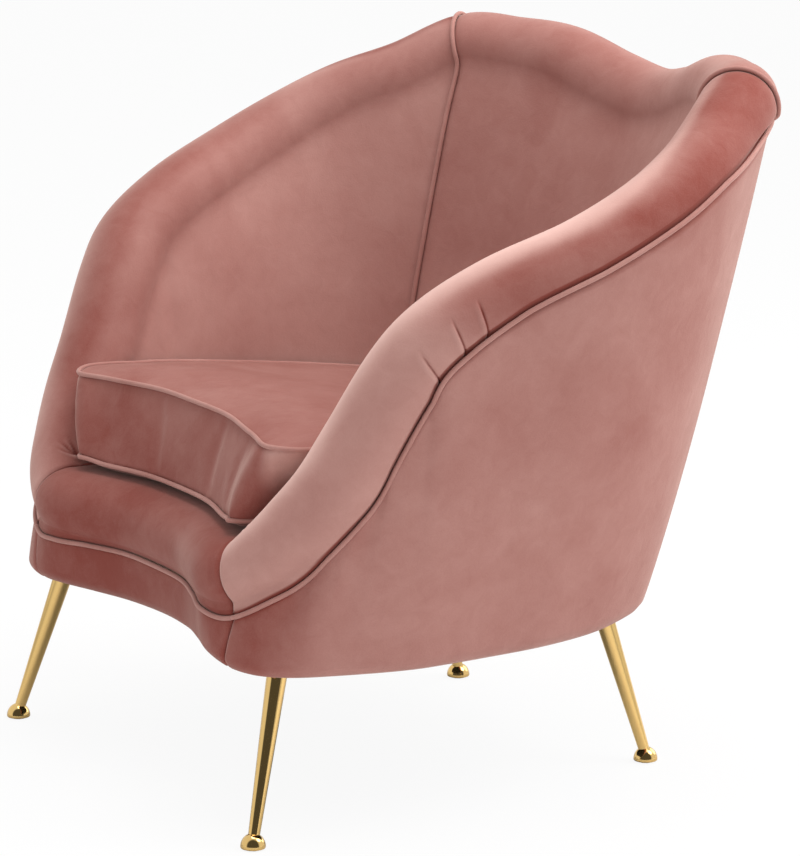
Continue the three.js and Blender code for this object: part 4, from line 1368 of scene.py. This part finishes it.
def stuff(piece, pinned, sizes):
    """Fills a cover with pressure, holds its seams, and keeps every point within the give."""
    scene = bpy.context.scene
    seams = piece.vertex_groups.new(name="seams")
    for v in piece.data.vertices:
        seams.add([v.index], pinned(v.co), "REPLACE")
    start = [v.co.copy() for v in piece.data.vertices]
    cloth = piece.modifiers.new("stuffing", "CLOTH")
    cloth.settings.use_pressure = True
    cloth.settings.uniform_pressure_force = sizes.pressure
    cloth.settings.vertex_group_mass = "seams"
    cloth.settings.quality = 6
    cloth.settings.mass = CLOTH_MASS
    cloth.settings.tension_stiffness = CLOTH_STRETCH
    cloth.settings.compression_stiffness = CLOTH_STRETCH
    cloth.settings.shear_stiffness = CLOTH_BEND
    cloth.settings.bending_stiffness = CLOTH_BEND
    cloth.settings.effector_weights.gravity = 0
    cloth.point_cache.frame_start = 1
    cloth.point_cache.frame_end = CLOTH_FRAMES
    for number in range(1, CLOTH_FRAMES + 1):
        scene.frame_set(number)
    filled = piece.evaluated_get(bpy.context.evaluated_depsgraph_get())
    moved = [v.co.copy() for v in filled.data.vertices]
    piece.modifiers.remove(cloth)
    scene.frame_set(1)
    for v, before, after in zip(piece.data.vertices, start, moved):
        step = after - before
        if step.length > sizes.give:
            step *= sizes.give / step.length
        v.co = before + step
    piece.vertex_groups.remove(seams)


BORDER_STEPS = 12
BORDER_CURVE = 0.7
CROWN_CURVE = 2.5
# The shares of the plan that the underside's and the top's rings lie at
UNDER_SHARES = (0, 0.3, 0.6, 0.86)
UNDER_EDGE_SHARE = 0.94
UNDER_EDGE_RISE = 0.0015
TOP_SHARES = (0.96, 0.88, 0.76, 0.6, 0.4, 0.2, 0)


def cushion_rings(sizes):
    """The cover's rings, from the middle of its underside over the border to the middle of its top."""
    rings = [cushion_ring(0, CUSHION_BOTTOM + CLOTH_LIFT, share) for share in UNDER_SHARES]
    rings.append(cushion_ring(0, CUSHION_BOTTOM + UNDER_EDGE_RISE, UNDER_EDGE_SHARE))
    for k in range(BORDER_STEPS + 1):
        level = k / BORDER_STEPS
        drawn = DRAW_IN * math.sin(math.pi * level) ** BORDER_CURVE
        rings.append(cushion_ring(level, LOW_PIPING + level * sizes.border, inset=drawn))
    for share in TOP_SHARES:
        rise = sizes.crown * (1 - share**CROWN_CURVE)
        rings.append(cushion_ring(1, LOW_PIPING + sizes.border + rise, share))
    return rings


# How near to a seam the cover is held, and the flat stretch of the rear border that holds the zip
SEAM_HOLD = 0.009
SEAM_BAND = 0.02
ZIP_REACH = 0.125
ZIP_ROOM = 0.02
# Where the painted light changes: over the upper piping, and round the front corners
TOP_TURN = (-0.004, 0.002)
SIDE_TURN = (0.220, 0.240)


def seam_hold(sizes):
    """How firmly each point of the cover is held while it fills, by its place."""
    high_piping = LOW_PIPING + sizes.border
    seams = [(cushion_outline(level)[::2], level) for level in (0, 1)]
    rear = back_flat() - ZIP_ROOM

    def held(p):
        if p.z < LOW_PIPING - 0.001:
            return 1.0
        if p.y > rear and abs(p.x) < ZIP_REACH and p.z < high_piping:
            return 1.0
        near = 1.0
        for seam, level in seams:
            above = p.z - LOW_PIPING - level * sizes.border - cushion_rise(p, level)
            if abs(above) < SEAM_BAND:
                flat = min((p.x - q.x) ** 2 + (p.y - q.y) ** 2 for q in seam)
                near = min(near, math.hypot(flat**0.5, above) / SEAM_HOLD)
        return 1 - ease(near)

    return held


class TUB_OT_cushion(Operator):
    """Sews the loose cushion's cover and stuffs it by cloth simulation"""

    bl_idname = "tub.cushion"
    bl_label = "Stuff cushion"

    def execute(self, context):
        sizes = context.scene.tub_cushion
        cushion = piece_from(ring_pad(cushion_rings(sizes)), "seat_cushion", "velvet_seat", "cushion")
        context.view_layer.objects.active = cushion
        cushion.data.remesh_voxel_size = sizes.voxel
        with context.temp_override(object=cushion, active_object=cushion):
            bpy.ops.object.voxel_remesh()
        stuff(cushion, seam_hold(sizes), sizes)
        for face in cushion.data.polygons:
            face.use_smooth = True
        if "lay" not in cushion.data.attributes:
            cushion.data.attributes.new("lay", "FLOAT", "POINT")
        # Painted shade on the front border and the seat's top, and painted light on the side borders beside
        # the arms
        for v, lay in zip(cushion.data.vertices, cushion.data.attributes["lay"].data):
            above = v.co.z - LOW_PIPING - sizes.border - cushion_rise(v.co, 1)
            border = blend(PAINTED_SHADE_BORDER, PAINTED_LIGHT_SIDE, rising(abs(v.co.x), *SIDE_TURN))
            lay.value = blend(border, PAINTED_SHADE_SEAT, rising(above, *TOP_TURN))
        softer = cushion.modifiers.new("soft edges", "SUBSURF")
        softer.levels = softer.render_levels = 1
        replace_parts(cushion, "cushion_cover", "cushion_core")
        return {"FINISHED"}


CUSHION_PIPING_LIFT = 0.0018


class TUB_OT_cushion_piping(Operator):
    """Sews the cushion's two pipings"""

    bl_idname = "tub.cushion_piping"
    bl_label = "Pipe cushion"

    def execute(self, context):
        sizes = context.scene.tub_cushion
        radius = context.scene.tub_shell.piping_radius
        for name, level in (("low", 0), ("high", 1)):
            ring = cushion_ring(level, LOW_PIPING + level * sizes.border, inset=-CUSHION_PIPING_LIFT)
            facings = [-way for way in inward_at(ring, CUSHION_MIDDLE)]
            bm = cord(ring, facings, radius, loop=True)
            edge = piece_from(bm, f"cushion_cord_{name}", "velvet_seat", "cushion", lay=CORD_TONE)
            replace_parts(edge, f"cushion_piping_{name}")
        return {"FINISHED"}


# Zip

TOOTH_PITCH = 0.0025
TOOTH_SIZE = (0.0015, 0.0012, 0.0034)
TOOTH_STAGGER = 0.0008
TAPE_THICKNESS = 0.0006
TAPE_GAP = 0.0004
TOOTH_ROUND = 0.0003


class TUB_OT_zip(Operator):
    """Fits the zip in the cushion's rear border, with its tape and teeth"""

    bl_idname = "tub.zip"
    bl_label = "Fit zip"

    def execute(self, context):
        low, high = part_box("cushion_zip")
        middle = (low + high) / 2
        long, tall = high.x - low.x, high.z - low.z
        bm = bmesh.new()
        count = int(long / TOOTH_PITCH)
        for k in range(count):
            x = low.x + (k + 0.5) * TOOTH_PITCH
            z = middle.z + (TOOTH_STAGGER if k % 2 else -TOOTH_STAGGER)
            place = Matrix.Translation((x, high.y - TOOTH_SIZE[1] / 2, z)) @ Matrix.Diagonal((*TOOTH_SIZE, 1))
            bmesh.ops.create_cube(bm, size=1, matrix=place)
        bmesh.ops.bevel(
            bm, geom=bm.edges[:], offset=TOOTH_ROUND, segments=1, profile=0.5, affect="EDGES", material=-1)
        for side in (-1, 1):
            tape = Vector((middle.x, low.y + TAPE_THICKNESS / 2, middle.z + side * tall / 4))
            size = (long, TAPE_THICKNESS, tall / 2 - TAPE_GAP, 1)
            bmesh.ops.create_cube(bm, size=1, matrix=Matrix.Translation(tape) @ Matrix.Diagonal(size))
        teeth = piece_from(bm, "zip_tape_and_teeth", "nylon", "cushion")
        teeth.data.set_sharp_from_angle(angle=math.radians(30))
        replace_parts(teeth, "cushion_zip")
        return {"FINISHED"}


# Legs

LEG_TOP = 0.0115
LEG_FOOT = 0.006
LEG_SEAT = 0.008
LEG_SIDES = 64
PLATE_GAP = 0.0004
STUD_RADIUS = 0.004
STUD_SUNK = 0.004
STUD_SIDES = 24
FOOT_RADIUS = 0.0135
FOOT_HEIGHT = 0.017
FOOT_CLEARANCE = 0.001
# The foot's sole, which ends this far in from its rim, and the rounding from the sole to the dome
SOLE_INSET = 0.002
RIM_INSET = 0.0006
RIM_RISE = 0.0005
DOME_RISE = 0.0016
DOME_STEPS = 18
TURNED_EDGE = math.radians(50)
LEGS = [f"{place}_{side}" for place in ("front", "rear") for side in ("left", "right")]


def leg_line(leg):
    """The middle of a leg at its foot and under its plate."""
    foot_middle = sum(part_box(f"foot_{leg}"), Vector()) / 2
    low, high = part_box(f"plate_{leg}")
    foot = Vector((foot_middle.x, foot_middle.y, LEG_SEAT))
    return foot, Vector(((low.x + high.x) / 2, (low.y + high.y) / 2, low.z - PLATE_GAP))


def leg_shaft(foot, top):
    """A tapered shaft up to the plate, cut level at its top."""
    axis = top - foot
    past = top + axis.normalized() * LEG_TOP
    turn = axis.to_track_quat("Z", "Y").to_matrix().to_4x4()
    bm = bmesh.new()
    bmesh.ops.create_cone(
        bm, cap_ends=True, segments=LEG_SIDES, radius1=LEG_FOOT, radius2=LEG_TOP,
        depth=(past - foot).length, matrix=Matrix.Translation((foot + past) / 2) @ turn)
    bmesh.ops.bisect_plane(
        bm, geom=bm.verts[:] + bm.edges[:] + bm.faces[:], plane_co=top, plane_no=(0, 0, 1),
        clear_outer=True)
    bmesh.ops.holes_fill(bm, edges=bm.edges, sides=2 * LEG_SIDES)
    return bm


def leg_stud(top, end):
    """The stud from inside the leg's top up through the plate into its block."""
    low = top.z - STUD_SUNK
    bm = bmesh.new()
    bmesh.ops.create_cone(
        bm, cap_ends=True, segments=STUD_SIDES, radius1=STUD_RADIUS, radius2=STUD_RADIUS,
        depth=end - low, matrix=Matrix.Translation((top.x, top.y, (low + end) / 2)))
    return bm


def foot_dome(foot):
    """A dome on a flat sole, turned round the foot's middle."""
    rim = FOOT_CLEARANCE + DOME_RISE
    profile = [
        (0, FOOT_CLEARANCE), (FOOT_RADIUS - SOLE_INSET, FOOT_CLEARANCE),
        (FOOT_RADIUS - RIM_INSET, FOOT_CLEARANCE + RIM_RISE)]
    for k in range(DOME_STEPS + 1):
        angle = k / DOME_STEPS * math.pi / 2
        profile.append((FOOT_RADIUS * math.cos(angle), rim + (FOOT_HEIGHT - rim) * math.sin(angle)))
    bm = bmesh.new()
    verts = [bm.verts.new((foot.x + r, foot.y, z)) for r, z in profile]
    edges = [bm.edges.new(pair) for pair in zip(verts, verts[1:])]
    bmesh.ops.spin(
        bm, geom=verts + edges, cent=(foot.x, foot.y, 0), axis=(0, 0, 1), angle=2 * math.pi,
        steps=LEG_SIDES, use_merge=True)
    bmesh.ops.remove_doubles(bm, verts=bm.verts, dist=0.00002)
    bmesh.ops.recalc_face_normals(bm, faces=bm.faces)
    return bm


def turned_piece(bm, name, slot):
    """A turned metal piece that keeps its sharp ends."""
    piece = piece_from(bm, name, slot, "chair")
    piece.data.set_sharp_from_angle(angle=TURNED_EDGE)
    return piece


class TUB_OT_legs(Operator):
    """Turns the tapered brass legs and their domed feet"""

    bl_idname = "tub.legs"
    bl_label = "Turn legs"

    def execute(self, context):
        for leg in LEGS:
            foot, top = leg_line(leg)
            shaft = turned_piece(leg_shaft(foot, top), f"leg_shaft_{leg}", "brass")
            turned_piece(leg_stud(top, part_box(f"leg_{leg}")[1].z), f"leg_stud_{leg}", "steel")
            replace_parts(shaft, f"leg_{leg}")
            dome = turned_piece(foot_dome(foot), f"foot_dome_{leg}", "brass")
            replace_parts(dome, f"foot_{leg}")
        return {"FINISHED"}


class TUB_OT_frame_finish(Operator):
    """Gives the timber frame, webbing, plates, glides and zip slider their finishes"""

    bl_idname = "tub.frame_finish"
    bl_label = "Finish frame"

    def execute(self, context):
        slots = {piece["node"]: piece["material_slot"] for piece in frame["record"]["subparts"]}
        for name, node in frame["nodes"].items():
            if node.hide_render or name not in slots:
                continue
            for place in node.material_slots:
                place.material = finish_for(slots[name])
        return {"FINISHED"}


# Stage

CAMERA_AZIMUTH = math.radians(61.0251)
CAMERA_ELEVATION = math.radians(11.6219)
CAMERA_DISTANCE = 5.0775
CAMERA_LENS = 189.25
SENSOR_WIDTH = 36
# What the camera looks at: a point of the chair's middle plane, then how far right and up of it
CAMERA_MIDDLE = Vector((0, -0.0902, 0)) + CENTRING
CAMERA_AIM = (0.0629, 0.3607)
LAMP_AIM = Vector((0, 0, 0.4))
LAMP_DISTANCE = 3.2
LAMP_SIZE = 2.2
FLOOR_HALF = 30
FLOOR_CLOUDS = 0.4
FLOOR_SHADE = 0.985
# How much of the floor's colour the camera sees as plain white, so that the shadow stays
FLOOR_WHITE = 0.92
# Where the room turns from white to dark in polished metal, from its side to what is behind the camera
DARK_FROM = 0.45
DARK_FULL = 0.62


def camera_ways():
    """The level way to the camera's right, and the way that it looks."""
    level = math.cos(CAMERA_ELEVATION)
    right = Vector((math.cos(CAMERA_AZIMUTH), math.sin(CAMERA_AZIMUTH), 0))
    forward = Vector((
        -math.sin(CAMERA_AZIMUTH) * level, math.cos(CAMERA_AZIMUTH) * level, -math.sin(CAMERA_ELEVATION)))
    return right, forward


def set_up(scene, name, data, place, way):
    """Puts a camera or lamp at a place, looking along a way."""
    body = bpy.data.objects.new(name, data)
    scene.collection.objects.link(body)
    body.location = place
    body.rotation_mode = "QUATERNION"
    body.rotation_quaternion = way.to_track_quat("-Z", "Y")
    return body


def set_camera(scene, right, forward):
    aim = CAMERA_MIDDLE + right * CAMERA_AIM[0] + right.cross(forward) * CAMERA_AIM[1]
    lens = bpy.data.cameras.new("camera")
    lens.lens = CAMERA_LENS
    lens.sensor_width = SENSOR_WIDTH
    lens.clip_end = 100
    scene.camera = set_up(scene, "camera", lens, aim - forward * CAMERA_DISTANCE, forward)


def hang_lamp(scene, name, way, power):
    light = bpy.data.lights.new(name, "AREA")
    light.shape = "DISK"
    light.size = LAMP_SIZE
    light.energy = power
    set_up(scene, name, light, LAMP_AIM + way.normalized() * LAMP_DISTANCE, -way)


def lay_floor(scene, sizes):
    """A wide pale floor that the camera sees as nearly white, shadow and all."""
    mesh = bpy.data.meshes.new("studio_floor")
    bm = bmesh.new()
    bmesh.ops.create_grid(bm, x_segments=1, y_segments=1, size=FLOOR_HALF)
    bm.to_mesh(mesh)
    bm.free()
    floor = bpy.data.objects.new("studio_floor", mesh)
    scene.collection.objects.link(floor)
    finish = Finish("studio floor")
    pale = tuple(sizes.floor)
    colour = finish.mix(finish.grain(FLOOR_CLOUDS, 2.0), pale, tuple(c * FLOOR_SHADE for c in pale))
    finish.set(Base_Color=colour, Roughness=0.95, Specular_IOR_Level=0.0)
    seen = finish.node("ShaderNodeLightPath", {}, {}, "Is Camera Ray")
    white = finish.node("ShaderNodeEmission", {}, {"Color": (1, 1, 1), "Strength": 1.0})
    lit = Value(finish, finish.shader.outputs[0])
    both = finish.node("ShaderNodeMixShader", {}, {0: seen * FLOOR_WHITE, 1: lit, 2: white})
    finish.tree.links.new(both.socket, finish.tree.nodes["Material Output"].inputs["Surface"])
    mesh.materials.append(finish.material)


def light_room(scene, sizes, towards_camera):
    """A white room whose end behind the camera shows dark in polished metal."""
    world = bpy.data.worlds.new("studio")
    scene.world = world
    world.use_nodes = True
    background = world.node_tree.nodes["Background"]
    room = Room(world.node_tree)
    way = room.node("ShaderNodeTexCoord", {}, {}, "Generated")
    facing = room.node(
        "ShaderNodeVectorMath", {"operation": "DOT_PRODUCT"}, {0: way, 1: towards_camera}, "Value")
    mirrored = room.node("ShaderNodeMapRange", {}, {
        "Value": facing, "From Min": DARK_FROM, "From Max": DARK_FULL, "To Min": 1.0,
        "To Max": sizes.dark_end})
    seen = room.node("ShaderNodeLightPath", {}, {}, "Is Camera Ray")
    glossy = room.node("ShaderNodeLightPath", {}, {}, "Is Glossy Ray")
    lit = room.node("ShaderNodeMix", {"data_type": "FLOAT"}, {0: glossy, 2: sizes.world, 3: mirrored})
    level = room.node("ShaderNodeMix", {"data_type": "FLOAT"}, {0: seen, 2: lit, 3: 1.0})
    room.feed(background.inputs["Strength"], level)
    background.inputs["Color"].default_value = (1, 1, 1, 1)


class TUB_OT_stage(Operator):
    """Sets the pale studio floor, soft lamps and the camera"""

    bl_idname = "tub.stage"
    bl_label = "Set stage"

    def execute(self, context):
        scene, sizes = context.scene, context.scene.tub_stage
        right, forward = camera_ways()
        upright = Vector((0, 0, 1))
        set_camera(scene, right, forward)
        hang_lamp(scene, "key", right + upright - forward * 0.2, sizes.key)
        hang_lamp(scene, "rim", right + upright * 0.6 + forward * 0.7, sizes.rim)
        hang_lamp(scene, "top", upright + right * 0.05, sizes.top)
        lay_floor(scene, sizes)
        light_room(scene, sizes, -forward)
        scene.view_settings.view_transform = "Standard"
        return {"FINISHED"}


# Add-on

STEPS = (
    TUB_OT_arms,
    TUB_OT_back,
    TUB_OT_nose,
    TUB_OT_outside,
    TUB_OT_piping,
    TUB_OT_deck,
    TUB_OT_dust_cover,
    TUB_OT_cushion,
    TUB_OT_cushion_piping,
    TUB_OT_zip,
    TUB_OT_legs,
    TUB_OT_frame_finish,
    TUB_OT_stage,
)
SETTINGS = {
    "tub_velvet": VelvetSettings,
    "tub_shell": ShellSettings,
    "tub_cushion": CushionSettings,
    "tub_metal": MetalSettings,
    "tub_stage": StageSettings,
}


class TUB_PT_panel(Panel):
    bl_label = "Tub Chair"
    bl_idname = "TUB_PT_panel"
    bl_space_type = "VIEW_3D"
    bl_region_type = "UI"
    bl_category = "Tub Chair"

    def draw(self, context):
        for name, group in SETTINGS.items():
            box = self.layout.box()
            for key in group.__annotations__:
                box.prop(getattr(context.scene, name), key)
        for step in STEPS:
            self.layout.operator(step.bl_idname)


def register():
    for part in (*SETTINGS.values(), *STEPS, TUB_PT_panel):
        bpy.utils.register_class(part)
    for name, group in SETTINGS.items():
        setattr(bpy.types.Scene, name, PointerProperty(type=group))


def unregister():
    for name in SETTINGS:
        delattr(bpy.types.Scene, name)
    for part in reversed((*SETTINGS.values(), *STEPS, TUB_PT_panel)):
        bpy.utils.unregister_class(part)


def main():
    register()
    for step in STEPS:
        group, name = step.bl_idname.split(".")
        getattr(getattr(bpy.ops, group), name)()


if __name__ == "__main__":
    main()
